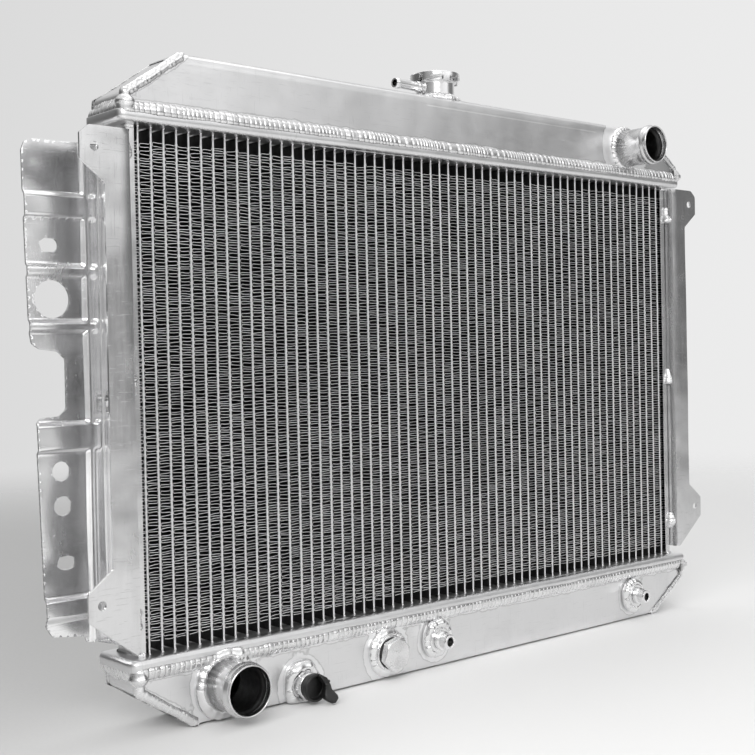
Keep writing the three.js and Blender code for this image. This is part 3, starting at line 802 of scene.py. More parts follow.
def build_tank_end(name, node, form, side):
    """The bent plate closing a tank's end: a short upright, then the slope up to the flat."""
    start = np.array([TANK_X, form.seat])
    knee = np.array([TANK_X, form.shoulder])
    crown = np.array([TANK_FLAT, form.flat_z])
    corners = [start, knee, crown, crown + [-60, 0], start + [-60, 0]]
    path = densify(rounded_loop(corners, [0, 5, 0, 0, 0], 8)[:-2], 3.0, closed=False)
    path = path[: int(np.argmin(np.linalg.norm(path - crown, axis=1))) + 1]
    run = run_length(path)
    along = unit(np.gradient(path, axis=0))
    out = np.stack([along[:, 1], -along[:, 0]], 1) * form.sign

    def place(u, v):
        x = np.interp(v, run, path[:, 0])
        z = np.interp(v, run, path[:, 1])
        nx = np.interp(v, run, out[:, 0])
        nz = np.interp(v, run, out[:, 1])
        size = np.hypot(nx, nz)
        points = np.stack([side * x, u, z], 1)
        normals = np.stack([side * nx / size, np.zeros(len(u)), nz / size], 1)
        points += normals * (0.25 * np.sin(u / 11) * np.sin(v / 9))[:, None]
        return points, normals

    half = TANK_Y - 0.6
    outline = [(-half, 0), (half, 0), (half, run[-1]), (-half, run[-1])]
    obj = sheet(name, node, outline, [], place, TANK_SHEET, TANK, 4.0, edge=0.5, slot="tank_sheet")
    weld_gap(obj, form)


# ---------- weld beads ----------
def bead(
    mesh, path, out, width, height, pitch, seed, closed=False, sink=0.8, crescent=0.9, rough=0.25, lump=0.12
):
    """Overlapping crescent ripples laid along a path; out gives the way the bead faces at each point.

    Ripples above SMOOTH_PITCH run into one another as soft swells, as in a slow, hot weld.
    """
    noise = random.Random(seed)
    path = np.asarray(path, float)
    out = np.asarray(out, float)
    step = 0.42
    if closed:
        path = np.vstack([path, path[:1]])
        out = np.vstack([out, out[:1]])
    length = run_length(path)
    count = max(6, int(length[-1] / step))
    want = np.linspace(0, length[-1], count, endpoint=not closed)
    centre = np.stack([np.interp(want, length, path[:, k]) for k in range(3)], 1)
    facing = unit(np.stack([np.interp(want, length, out[:, k]) for k in range(3)], 1))
    if closed:
        along = unit(np.roll(centre, -1, 0) - np.roll(centre, 1, 0))
    else:
        along = unit(np.gradient(centre, axis=0))
    facing = unit(facing - along * np.einsum("ij,ij->i", facing, along)[:, None])
    across = np.cross(along, facing)
    total = length[-1]
    phase = want / pitch
    swell = np.zeros(count)
    drift = np.zeros(count)
    for k in range(6):
        if closed:
            waves = noise.randint(1, max(2, int(total / (14 + 9 * k))))
        else:
            waves = total / noise.uniform(11, 70)
        a, b, c = (noise.uniform(0, 2 * math.pi) for _ in range(3))
        turn = 2 * math.pi * waves * want / total
        phase = phase + 0.24 * np.sin(turn + a)
        swell += np.sin(turn + b) / 3
        drift += np.sin(turn + c) / 3
    for _ in range(max(1, int(total / 26))):
        at, size, reach = noise.uniform(0, total), noise.uniform(0.3, 1.0), noise.uniform(2.0, 5.0)
        swell += size * np.exp(-(((want - at) / reach) ** 2))
    smooth = pitch > SMOOTH_PITCH
    angles = np.radians(np.linspace(-96, 96, 13))
    rows = np.zeros((count, len(angles), 3))
    shade = np.zeros((count, len(angles)))
    amount = np.array([noise.uniform(0.75, 1.25) for _ in range(int(total / pitch) + 12)])
    for j, angle in enumerate(angles):
        side = math.sin(angle)
        local = phase + crescent * side * side
        local -= local.min()
        index = np.minimum(local.astype(int), len(amount) - 1)
        part = local - np.floor(local)
        if smooth:
            ripple_and_shade = 0.5 + 0.4 * np.sin(2 * np.pi * part)
        else:
            ripple_and_shade = np.power(np.clip(part / 0.3, 0, 1), 0.7) * (1 - 0.38 * part)
        ripple_and_shade = ripple_and_shade * amount[index]
        lift = height * math.cos(angle) * (1 + rough * (ripple_and_shade - 0.5) + lump * swell) - sink
        spread = width / 2 * side * (1 + 0.10 * (ripple_and_shade - 0.5) + lump * 0.6 * swell)
        # Painted shade: the stored value falls in each sharp ripple's valley and towards both edges of the
        # bead, and darkens the weld's colour there.
        shade[:, j] = (0.6 if smooth else np.clip(ripple_and_shade, 0, 1)) * math.cos(angle * 0.8)
        rows[:, j] = centre + across * (spread + 0.25 * drift)[:, None] + facing * lift[:, None]
    if not closed:
        ends = min(count // 2, max(2, int(width * 0.45 / step)))
        for k in range(ends):
            t = math.sqrt(max(0.0, 1 - (1 - (k + 0.3) / ends) ** 2))
            for row in (k, count - 1 - k):
                middle = centre[row] - facing[row] * sink
                rows[row] = middle + (rows[row] - middle) * t
    # Welds stop flush with the bottom tank's underside.
    rows[..., 2] = np.maximum(rows[..., 2], WELD_FLOOR)
    mesh.grid(rows, close_rows=closed)
    mesh.shade.extend(shade.reshape(-1).tolist())


def straight(a, b, out, step=4.0):
    points = densify([a, b], step, closed=False)
    return points, np.repeat(np.array([out], float), len(points), 0)


def ring_path(centre, radius, axis, outward, steps=72):
    """A circle about axis; outward mixes the axis and radial directions of the bead's face."""
    axis = np.array(axis, float)
    rays = np.array(spokes(axis, steps))
    return np.array(centre) + rays * radius, axis * outward[0] + rays * outward[1]


def seam_weld(name, z, sign, seed):
    """The long seam between a header's lip and its tank, all the way round."""
    half_x, half_y, corner = TANK_X + 1.7, TANK_Y + 1.6, 4.5
    loop, out = [], []
    for sx, sy, start in CORNERS:
        for k in range(7):
            angle = math.radians(start + 15 * k)
            ray = (math.cos(angle), math.sin(angle))
            x, y = sx * (half_x - corner), sy * (half_y - corner)
            loop.append((x + corner * ray[0], y + corner * ray[1], z))
            out.append((ray[0] * 0.9, ray[1] * 0.9, 0.42 * sign))
    mesh = Mesh()
    bead(mesh, loop, out, 10.4, 2.7, pitch=5.0, seed=seed, closed=True, sink=0.6, crescent=1.25, rough=0.42)
    mesh.build(name, [WELD])


def corner_weld(mesh, form, sx, sy, seed):
    """A bead up one upright corner of a tank and along its slope; the front ones start in a lump."""
    foot = (sx * (TANK_X - 0.8), sy * (TANK_Y - 0.8), form.seat + form.sign * 7)
    knee = (*foot[:2], form.shoulder)
    crown = (sx * (TANK_FLAT + 1.0), sy * (TANK_Y - 1.6), form.flat_z - form.sign * 1.2)
    path = densify([foot, knee, crown], 2.0, closed=False)
    slope = np.array([abs(form.flat_z - form.shoulder), 0, TANK_X - TANK_FLAT])
    slope = slope / np.linalg.norm(slope)
    out = []
    for point in path:
        t = np.clip((point[2] - form.shoulder) * form.sign / 6, 0, 1)
        normal = np.array([1.0, 0, 0]) * (1 - t) + slope * t
        out.append((sx * normal[0], sy * 1.0, form.sign * normal[2]))
    big = 1.0 if sy < 0 else 0.5
    bead(mesh, path, out, 8.6 * big, 4.0 * big, 6.5, seed, sink=1.2, crescent=0.8, rough=0.06, lump=0.10)
    if sy < 0:
        ends = [(sx * (TANK_X + 0.2), sy * (TANK_Y + 0.2), form.seat + form.sign * h) for h in (3.0, 18.5)]
        path, out = straight(*ends, (sx, sy, 0), 2.0)
        bead(mesh, path, out, 14.5, 5.6, 7.5, seed + 20, sink=1.4, rough=0.1, lump=0.2)


def build_tank_welds():
    seam_weld("top_seam_weld", TOP_HEADER_HIGH[2] + 2.6, 1, 21)
    seam_weld("bottom_seam_weld", LOW_HEADER_LOW[2] - 2.6, -1, 22)
    for form, label in ((TOP_FORM, "top"), (LOW_FORM, "bottom")):
        mesh = Mesh()
        seed = 40
        for sx in (-1, 1):
            for sy in (-1, 1):
                seed += 1
                corner_weld(mesh, form, sx, sy, seed)
            # The seam across the tank's end is built up in a broader bead.
            x, z = sx * (TANK_X + 0.4), form.seat + form.sign * SEAM_RISE
            path, out = straight((x, -TANK_Y + 1, z), (x, TANK_Y - 1, z), (sx, 0, form.sign * 0.1))
            bead(mesh, path, out, 15.5, 3.4, 4.0, seed + 40, sink=1.6, crescent=1.8, rough=0.4, lump=0.1)
            x, z = sx * TANK_FLAT, form.flat_z
            path, out = straight((x, -TANK_Y + 2, z), (x, TANK_Y - 2, z), (sx * 0.35, 0, form.sign))
            bead(mesh, path, out, 6.0, 1.6, 2.8, seed + 7, sink=0.5)
        mesh.build(f"{label}_shoulder_welds", [WELD])


def ring_weld(name, centre, radius, axis, outward, width, height, pitch, seed, metal, steps=72, **style):
    mesh = Mesh()
    path, out = ring_path(centre, radius, axis, outward, steps)
    bead(mesh, path, out, width, height, pitch, seed, closed=True, **style)
    mesh.build(name, [metal])


def build_fitting_welds():
    """A glossy welded cone round each neck and bung, from its foot out to the tank's face."""
    for name, node, grow, width, height, back, radial, seed, lump, rough, pitch in (
        ("upper_neck_weld", "upper_hose_neck", 0.4, 7.0, 3.0, 0.8, 0.65, 31, 0.34, 0.22, 5.0),
        ("lower_neck_weld", "lower_hose_neck", 2.2, 11.0, 4.6, 1.6, 0.65, 32, 0.42, 0.12, 9.0),
        ("drain_bung_weld", "drain_bung", 3.6, 12.0, 5.6, 2.2, 0.65, 33, 0.45, 0.10, 11.0),
        ("plug_bung_weld", "plug_bung", 1.8, 10.5, 4.2, 2.2, 0.7, 34, 0.4, 0.2, 7.0),
        ("cooler_weld_left", "cooler_bung_left", 1.4, 9.0, 4.8, 3.2, 0.6, 35, 0.34, 0.2, 6.5),
        ("cooler_weld_right", "cooler_bung_right", 1.4, 9.0, 4.8, 3.2, 0.6, 36, 0.34, 0.2, 6.5),
    ):
        x, z, radius = ring_of(node)
        outward = (0.7 if node == "plug_bung" else 0.75, radial)
        circle_at = ((x, -TANK_Y - back, z), radius + grow, FORWARD)
        style = {"sink": 1.0, "rough": rough, "lump": lump}
        ring_weld(name, *circle_at, outward, width, height, pitch, seed, GLOSSY_WELD, **style)


# ---------- hose necks ----------
def build_neck(name, node):
    low, high = node_box(node)
    x, z = (low[0] + high[0]) / 2, (low[2] + high[2]) / 2
    mouth = -low[1]
    bead_radius = (high[0] - low[0]) / 2
    outer = bead_radius - 1.3
    bore = outer - 2.05
    profile = [
        (bore, 20.0), (outer, 20.0), (outer, mouth - 12.0), (outer + 0.4, mouth - 10.2),
        (outer + 1.3, mouth - 8.6), (outer + 1.5, mouth - 7.2), (outer + 1.3, mouth - 5.8),
        (outer + 0.3, mouth - 4.4), (outer - 0.1, mouth - 3.4), (outer + 0.1, mouth - 1.6),
        (outer, mouth - 0.7), (outer - 0.35, mouth - 0.15), (outer - 0.8, mouth),
        (outer - 1.2, mouth - 0.2), (outer - 1.4, mouth - 0.8), (outer - 1.4, mouth - 4.0),
        (bore + 0.15, mouth - 4.8), (bore, mouth - 5.4), (bore, mouth - 9.0),
        (bore - 0.5, mouth - 9.6), (bore - 0.5, mouth - 14.0), (bore, mouth - 14.8),
    ]
    metal = turned_metal(f"{node}_turned", (x, 0, z), "Y", 0.70, 0.24, rings=420)
    obj = turned(name, node, profile, (x, 0, z), FORWARD, [metal, BORE_SHADE], segments=128)
    # The inside is painted dark as shade deep in the bore, and given a duller finish.
    for face in obj.data.polygons:
        place = face.center / MM
        if math.hypot(place.x - x, place.z - z) < bore + 0.2 and place.y > 5.2 - mouth:
            face.material_index = 1


# ---------- filler neck ----------
def build_filler():
    cx, cy = (FILLER_LOW[0] + FILLER_HIGH[0]) / 2, 0.0
    top = FILLER_HIGH[2]
    metal = turned_metal("filler_turned", (cx, cy, 0), "Z", 0.82, 0.2, rings=500)
    flange = 23.5
    segments = 192
    profile = round_profile(
        [
            (13.0, 521.0), (18.2, 521.0), (18.2, top - 9.2), (20.3, top - 8.2), (20.3, top - 4.6),
            (flange, top - 4.6), (flange, top - 0.2), (20.6, top), (16.4, top - 1.2),
            (15.5, top - 3.4), (15.5, 529.4), (13.0, 528.4),
        ],
        [0, 0, 0.8, 0.5, 0.3, 0.4, 0.7, 1.0, 0.8, 0.3, 0.4, 0.4],
    )
    grid = lathe(profile, (cx, cy, 0), (0, 0, 1), segments)
    axis_x = np.array([cx, cy])
    for row in grid:
        for point in row:
            flat = point[:2] - axis_x
            radius = np.linalg.norm(flat)
            if radius > 20.8:
                angle = math.degrees(math.atan2(flat[1], flat[0])) % 180
                notch = min(angle, 180 - angle)
                if notch < 17:
                    rim = 20.8 + max(0.0, notch - 15) / 2 * (radius - 20.8)
                    pull = rim / radius
                    point[:2] = axis_x + flat * pull
    mesh = Mesh()
    mesh.grid(grid, close_rows=True, close_columns=True)
    # Cam skirt: a turned-down wall in lengths below the flange, each with its own lead-in ramp.
    skirt = (-74, -58, 8.6), (-54, -34, 6.6), (-26, 6, 9.0), (24, 58, 7.6), (112, 142, 7.0)
    skirt += (146, 188, 9.2), (196, 216, 8.8), (222, 240, 6.4), (247, 262, 9.2), (267, 281, 6.6)
    for start, end, deep in skirt:
        steps = max(6, int((end - start) / 2.5))
        rows = []
        for k in range(steps + 1):
            angle = math.radians(start + (end - start) * k / steps)
            low = top - deep + 1.4 * (k / steps)
            wall = [(-0.2, top - 1.0), (0.1, top - 2.0), (0.1, low + 0.3), (-0.3, low), (-1.2, low)]
            wall += [(-1.6, low + 0.3), (-1.6, top - 1.6)]
            ray = (math.cos(angle), math.sin(angle))
            wall = [(flange + out, z) for out, z in wall]
            rows.append([(cx + ray[0] * radius, cy + ray[1] * radius, z) for radius, z in wall])
        mesh.tube(rows)
    obj = mesh.build("filler_cam_neck", [metal], replaces="filler_neck", slot="machined")
    bevel(obj, 0.25, 55)
    style = {"sink": 1.2, "rough": 0.2, "lump": 0.3}
    foot = (cx, cy, TOP_Z + 1.0)
    ring_weld("filler_weld", foot, 20.0, (0, 0, 1), (0.55, 0.9), 10.5, 4.6, 5.5, 61, WELD, **style)


def build_nipple():
    low, high = node_box("overflow_nipple")
    z = (low[2] + high[2]) / 2
    end, root = low[0], high[0]
    profile = round_profile(
        [
            (3.1, end), (4.3, end), (5.1, end + 2.6), (5.1, end + 4.8), (4.5, end + 6.0),
            (4.5, root - 9.0), (5.3, root - 7.6), (5.3, root - 4.8), (4.7, root - 3.6), (4.7, root),
            (3.1, root),
        ],
        [0.2, 0.4, 0.6, 0.5, 0.5, 0.6, 0.6, 0.6, 0.3, 0, 0],
    )
    metal = turned_metal("nipple_turned", (0, 0, z), "X", 0.84, 0.14, rings=500)
    turned("overflow_barb", "overflow_nipple", profile, (0, 0, z), (1, 0, 0), [metal], segments=72)
    foot = (root - 1.6, 0, z)
    ring_weld("nipple_weld", foot, 5.0, (1, 0, 0), (-0.8, 0.7), 4.2, 1.6, 2.2, 71, WELD, steps=40, sink=0.4)


# ---------- drain, plug and cooler fittings ----------
def build_bungs():
    for node, bore, face, chamfer in (
        ("drain_bung", 6.9, 38.0, 1.2),
        ("plug_bung", 10.0, 33.0, 1.2),
        ("cooler_bung_left", 7.3, 33.0, 1.0),
        ("cooler_bung_right", 7.3, 33.0, 1.0),
    ):
        x, z, radius = ring_of(node)
        profile = [(bore, 21), (radius, 21), (radius, face), (bore, face)]
        profile = round_profile(profile, [0, 0, chamfer, 0.5], 5)
        metal = turned_metal(f"{node}_turned", (x, 0, z), "Y", 0.82, 0.22, rings=500)
        turned(f"{node}_ring", node, profile, (x, 0, z), FORWARD, [metal], segments=80)


def sealing_ring(name, node, bore, radius, rounding, steps, body=BODY):
    x, z, _ = ring_of(node)
    low, high = node_box(node)
    profile = [(bore, -high[1]), (radius, -high[1]), (radius, -low[1]), (bore, -low[1])]
    profile = round_profile(profile, rounding, steps)
    turned(name, node, profile, (x, 0, z), FORWARD, [RUBBER], body=body, slot="seal_rubber")


def build_plug():
    x, z, _ = ring_of("hex_plug")
    front, back = -node_box("hex_plug")[0][1], 34.6
    flats = 27.0
    segments = 120
    levels = [
        (0.0, back), (9.0, back), (12.9, back), (13.4, back + 0.25), (17.0, back + 1.0),
        (17.0, front - 2.2), (15.0, front - 1.1), (13.7, front - 0.35), (13.1, front - 0.02),
        (12.4, front), (6.0, front), (0.0, front),
    ]
    rows = []
    for k in range(segments):
        angle = 2 * math.pi * k / segments
        face = math.radians(60)
        local = (angle - math.radians(15) + face / 2) % face - face / 2
        edge = (flats / 2) / math.cos(face / 2 - abs(local))
        edge = min(edge, flats / 2 / math.cos(face / 2) - 0.35)
        ray = (math.cos(angle), math.sin(angle))
        rows.append([(x + min(r, edge) * ray[0], -y, z + min(r, edge) * ray[1]) for r, y in levels])
    mesh = Mesh()
    mesh.grid(rows, close_rows=True)
    shank = lathe([(0, 20.5), (8.8, 20.5), (9.7, 21.5), (9.7, 35.0), (0, 35.0)], (x, 0, z), FORWARD, 60)
    mesh.grid(shank, close_rows=True)
    metal = faced_metal("plug_faced", (x, 0, z))
    obj = mesh.build("hex_plug_head", [metal], replaces="hex_plug", slot="machined")
    bevel(obj, 0.3, 40)
    sealing_ring("plug_sealing_ring", "plug_gasket", 10.4, ring_of("plug_gasket")[2], 0.4, 4)


def build_cooler_fittings():
    for node in ("cooler_fitting_left", "cooler_fitting_right"):
        x, z, _ = ring_of(node)
        nose = -node_box(node)[0][1]
        profile = round_profile(
            [
                (4.0, 20.0), (7.0, 20.0), (7.0, 33.3), (8.6, 33.3), (8.6, 36.6), (6.9, 37.6),
                (6.9, nose - 2.0), (6.3, nose), (4.4, nose), (4.0, nose - 0.7),
            ],
            [0, 0, 0, 0.4, 0.5, 0.4, 0.5, 0.4, 0.3, 0.3],
        )
        metal = turned_metal(f"{node}_turned", (x, 0, z), "Y", 0.84, 0.18, rings=600)
        turned(f"{node}_nose", node, profile, (x, 0, z), FORWARD, [metal], segments=80)


def build_drain():
    x, z, _ = ring_of("drain_bung")
    back, rim = 40.4, 50.0
    profile = round_profile(
        [
            (0.0, 23.0), (5.4, 23.0), (6.5, 24.6), (6.5, back), (10.9, back), (11.7, back + 0.9),
            (11.7, back + 5.2), (11.0, back + 5.9), (9.6, back + 5.9), (9.2, back + 1.6),
            (0.0, back + 1.2),
        ],
        [0, 0.5, 0.6, 0, 0.5, 0.6, 0.8, 0.6, 0.5, 0.8, 0],
    )
    mesh = Mesh()
    mesh.grid(lathe(profile, (x, 0, z), FORWARD), close_rows=True)
    # The finger lever: a raised wall over the right of the cup that runs out into a tab, forward and down.
    lever = rounded_loop(
        [
            (3.4, 10.8), (8.6, 8.0), (11.4, 2.6), (11.6, -1.8), (15.0, -6.8), (14.9, -9.4),
            (11.9, -12.6), (9.0, -12.9), (4.8, -9.6), (4.6, -6.0), (6.4, -1.0), (6.2, 3.2),
            (3.2, 7.4), (1.4, 9.8),
        ],
        1.9,
        6,
    )
    centre = lever.mean(0)
    levels = []
    swell = (0.80, 0.0), (0.94, 0.10), (1.0, 0.25), (1.0, 0.72), (0.985, 0.86), (0.93, 0.96)
    swell += (0.84, 1.0), (0.5, 1.0)
    for shrink, height in swell:
        level = []
        for px, pz in lever:
            qx, qz = centre + (np.array((px, pz)) - centre) * shrink
            reach = max(0.0, qx * 0.72 - qz * 0.69 - 6.0)
            under, over = back + 4.6 + 0.44 * reach, rim + 0.2 + 0.62 * reach
            level.append((x + qx, -(under + (over - under) * height), z + qz))
        levels.append(level)
    mesh.tube(levels)
    # A short stop nub on the edge of the lever.
    nub = np.array([0.95, 0, 0.3])
    stub = [(0.0, 0.0), (1.3, 0.0), (1.3, 1.6), (0.9, 2.1), (0.0, 2.2)]
    mesh.grid(lathe(stub, (x + 10.2, -rim + 2.2, z + 3.8), nub / np.linalg.norm(nub), 24), close_rows=True)
    mesh.build("drain_finger_screw", [PLASTIC], replaces="drain_screw", body="drain", slot="black_plastic")
    sealing_ring("drain_seal_ring", "drain_seal", 7.4, 10.2, 0.7, 5, body="seal")


def build_inside_cooler():
    """The transmission cooler's barrel inside the bottom tank."""
    low, high = node_box("oil_cooler")
    z = ring_of("cooler_bung_left")[1]
    radius = (high[2] - low[2]) / 2
    profile = [(0, low[0]), (radius, low[0]), (radius, high[0]), (0, high[0])]
    profile = round_profile(profile, [0, 2, 2, 0], 6)
    metal = turned_metal("cooler_turned", (0, 0, z), "X", 0.8, 0.3, rings=300)
    mesh = Mesh()
    mesh.grid(lathe(profile, (0, 0, z), (1, 0, 0), 64), close_rows=True)
    for node in ("cooler_bung_left", "cooler_bung_right"):
        x = ring_of(node)[0]
        pipe = lathe([(3.8, 9.5), (5.5, 9.5), (5.5, 19.7), (3.8, 19.7)], (x, 0, z), FORWARD, 40)
        mesh.grid(pipe, close_rows=True, close_columns=True)
    mesh.build("oil_cooler_barrel", [metal], replaces="oil_cooler", slot="machined")


# ---------- sides and brackets ----------
def angle_place(sx, sy, radius, relief):
    """Maps a flat strip onto an L: u below 0 is the web by the channel, u past the bend is the flange."""
    arc = radius * math.pi / 2

    def place(u, v):
        turn = np.clip(u / arc, 0, 1) * math.pi / 2
        nx, ny = -np.cos(turn), np.sin(turn)
        x = BRACKET_WEB + radius * (1 + nx) + np.maximum(u - arc, 0)
        y = TANK_Y + radius * (ny - 1) + np.minimum(u, 0)
        points = np.stack([sx * x, sy * y, v], 1)
        normals = np.stack([sx * nx, sy * ny, np.zeros(len(u))], 1)
        return points + normals * relief(x, v)[:, None], normals

    return place


def flange_u(x, radius):
    return x - BRACKET_WEB - radius + radius * math.pi / 2


def build_front_bracket(side, node, rounded_corner):
    radius = 4.0
    low, _ = node_box(node)
    raise_z = low[2] - 64.0
    web = radius + BRACKET_SHEET - TANK_Y
    soft = 6.0 if rounded_corner else 1.5
    shape = [
        (345.5, 64.0, 1.0), (385.5, 94.5, 1.5), (385.5, 115.5, 1.5), (364.5, 131.5, 3.0),
        (364.0, 420.0, 3.0), (384.0, 435.5, 1.5), (384.0, 455.0, soft), (376.0, 461.3, soft),
    ]
    outline = [(flange_u(x, radius), z + raise_z) for x, z, _ in shape]
    outline = [(web, 64.0 + raise_z), *outline, (web, 461.3 + raise_z)]
    outline = rounded_loop(outline, [1.0] + [r for _, _, r in shape] + [1.0], 6)
    holes = [circle(flange_u(x, radius), z + raise_z, 3.6, 28) for x, z in ((374.4, 105.8), (372.0, 445.6))]

    def relief(x, v):
        return 0.18 * np.sin(v / 41 + side) + 0.1 * np.sin(v / 17)

    place = angle_place(side, -1, radius, relief)
    sheet(f"{node}_plate", node, outline, holes, place, BRACKET_SHEET, SIDE, 5.0)


REAR_SHAPE = (
    (397.7, 455.5, 3.0), (404.2, 453.0, 3.0), (406.7, 446.5, 3.0), (403.4, 311.0, 5.0),
    (401.7, 301.0, 4.0), (395.7, 297.0, 4.0), (380.7, 295.0, 4.0), (374.7, 289.0, 4.0),
    (375.2, 251.0, 4.0), (381.2, 245.5, 4.0), (395.7, 245.0, 4.0), (400.2, 240.0, 4.0),
    (395.3, 85.0, 4.0), (390.2, 77.5, 3.0), (363.7, 74.5, 3.0), (362.2, 69.5, 2.0),
)


def build_rear_bracket():
    radius = 4.5
    web = radius + BRACKET_SHEET - TANK_Y
    outline = [(web, 67.0), (web, 456.5)] + [(flange_u(x, radius), z) for x, z, _ in REAR_SHAPE]
    outline = rounded_loop(outline, [1.0, 1.0] + [r for _, _, r in REAR_SHAPE], 6)
    rounds = (384.2, 335.0, 14.6, 64), (380.4, 203.5, 7.5, 40), (379.3, 176.8, 7.5, 40)
    holes = [circle(flange_u(x, radius), z, r, n) for x, z, r, n in rounds]
    holes += [stadium(flange_u(x, radius), z, 7.6, 5.2, 10) for x, z in ((385.9, 376.0), (377.6, 133.0))]

    def band(v, low, high, soft):
        rise = np.clip((v - low + soft) / (2 * soft), 0, 1)
        fall = np.clip((high - v + soft) / (2 * soft), 0, 1)
        return (rise * rise * (3 - 2 * rise)) * (fall * fall * (3 - 2 * fall))

    ribs = (397, 415, 2.8), (352.5, 360.5, 2.2), (310.5, 318, 2.2), (219, 240, 2.8), (90, 106, 2.8)

    def relief(x, v):
        depth = np.zeros(len(x))
        for low, high, deep in ribs:
            depth = np.maximum(depth, deep * band(v, low, high, 1.3))
        spine = 2.3 * band(x, 352.0, 357.5, 1.2)
        free = np.clip((x - 345.5) / 2.5, 0, 1)
        warp = 0.5 * np.sin(v / 24 + 0.6) * np.sin((x - 345) / 17) + 0.5 * np.sin(v / 47 + x / 31)
        return -(np.maximum(depth, spine) * free) + warp * free

    place = angle_place(-1, 1, radius, relief)
    node = "left_rear_bracket"
    sheet(f"{node}_plate", node, outline, holes, place, BRACKET_SHEET, PRESSED, 1.6, edge=0.4)


def build_channel(side, node):
    low, high = node_box(node)
    inner_x, web_x = 332.5, 340.1
    half_y = high[1]
    thick = 1.3

    def trough(web, half, radius):
        corners = [(inner_x, -half), (web, -half), (web, half), (inner_x, half)]
        return rounded_loop(corners, [0, radius, radius, 0], 6)

    outer = trough(web_x, half_y, 2.2)
    inset = trough(web_x - thick, half_y - thick, 1.0)
    steps = np.linspace(low[2], high[2], 40)
    section = np.vstack([outer, inset[::-1]])
    rows = []
    for z in steps:
        sway = 0.2 * math.sin(z / 43 + side)
        rows.append([(side * (x + sway * 0.3), y + sway * (1 if y > 0 else -1) * 0.5, z) for x, y in section])
    mesh = Mesh()
    mesh.tube(rows)
    obj = mesh.build(f"{node}_section", [SIDE], replaces=node, slot="side_sheet")
    bevel(obj, 0.3, 60)


def build_side_tacks():
    """Short welds joining the brackets to the channels, and the channel feet to the headers."""
    mesh = Mesh()
    seeds = itertools.count(91)

    def tack(start, end, out, width, height, pitch, **style):
        bead(mesh, *straight(start, end, out), width, height, pitch, next(seeds), **style)

    for side, heights in ((-1, (447, 268, 89)), (1, (437, 257, 97))):
        x = side * 340.4
        for z in heights:
            style = {"sink": 0.9, "rough": 0.25, "lump": 0.4}
            tack((x, -16.2, z - 9.5), (x, -16.2, z + 9.5), (-side * 0.75, -0.7, 0), 10.5, 4.4, 6.0, **style)
        for z in (435, 255, 101) if side < 0 else ():
            style = {"sink": 0.9, "rough": 0.35, "lump": 0.3}
            tack((x, 15.6, z - 10), (x, 15.6, z + 10), (-side * 0.6, 0.8, 0), 7.5, 3.0, 3.0, **style)
        for z, sign in ((60.3, 1), (466.7, -1)):
            for y in (-15.6, 15.6):
                level = z + sign * 0.6
                out = (0, math.copysign(0.8, y), sign * 0.6)
                ends = (side * 333.0, y, level), (side * 340.5, y, level)
                tack(*ends, out, 4.4, 1.8, 2.6, sink=0.5, rough=0.3)
    mesh.build("side_tack_welds", [WELD], slot="side_sheet")


# ---------- assembly ----------
TOP_FORM = TankForm(TOP_TANK_LOW[2], TOP_Z, TOP_SHOULDER)
LOW_FORM = TankForm(LOW_TANK_HIGH[2], LOW_TANK_LOW[2], LOW_SHOULDER)

UPPER = ring_of("upper_hose_neck")
LOWER = ring_of("lower_hose_neck")
BUNGS = [ring_of(node) for node in ("drain_bung", "plug_bung", "cooler_bung_left", "cooler_bung_right")]

build_tubes()
build_fins()
build_headers()
filler_hole = circle((FILLER_LOW[0] + FILLER_HIGH[0]) / 2, TOP_FORM.length / 2, 17.8, 44)
top_holes = [flat_hole(TOP_FORM, UPPER, -1.0), filler_hole]
low_holes = [flat_hole(LOW_FORM, LOWER, -1.0)] + [flat_hole(LOW_FORM, bung, 0.3) for bung in BUNGS]
HEAT_REACH = (5, 8, 5, 4, 4)
low_rings = [(x, z, r + reach) for (x, z, r), reach in zip([LOWER, *BUNGS], HEAT_REACH)]
build_tank("top_tank_skin", "top_tank_shell", TOP_FORM, top_holes, [(*UPPER[:2], UPPER[2] + 11)])
build_tank("bottom_tank_skin", "bottom_tank_shell", LOW_FORM, low_holes, low_rings)
for form, label in ((TOP_FORM, "top"), (LOW_FORM, "bottom")):
    for side, hand in ((-1, "left"), (1, "right")):
        build_tank_end(f"{label}_tank_{hand}_plate", f"{label}_tank_{hand}_end", form, side)
build_tank_welds()
build_neck("upper_neck_tube", "upper_hose_neck")
build_neck("lower_neck_tube", "lower_hose_neck")
build_fitting_welds()
build_filler()
build_nipple()
build_bungs()
build_plug()
build_cooler_fittings()
build_drain()
build_inside_cooler()
build_front_bracket(-1, "left_front_bracket", False)
build_front_bracket(1, "right_front_bracket", True)
build_rear_bracket()
build_channel(-1, "left_side_channel")
build_channel(1, "right_side_channel")
build_side_tacks()


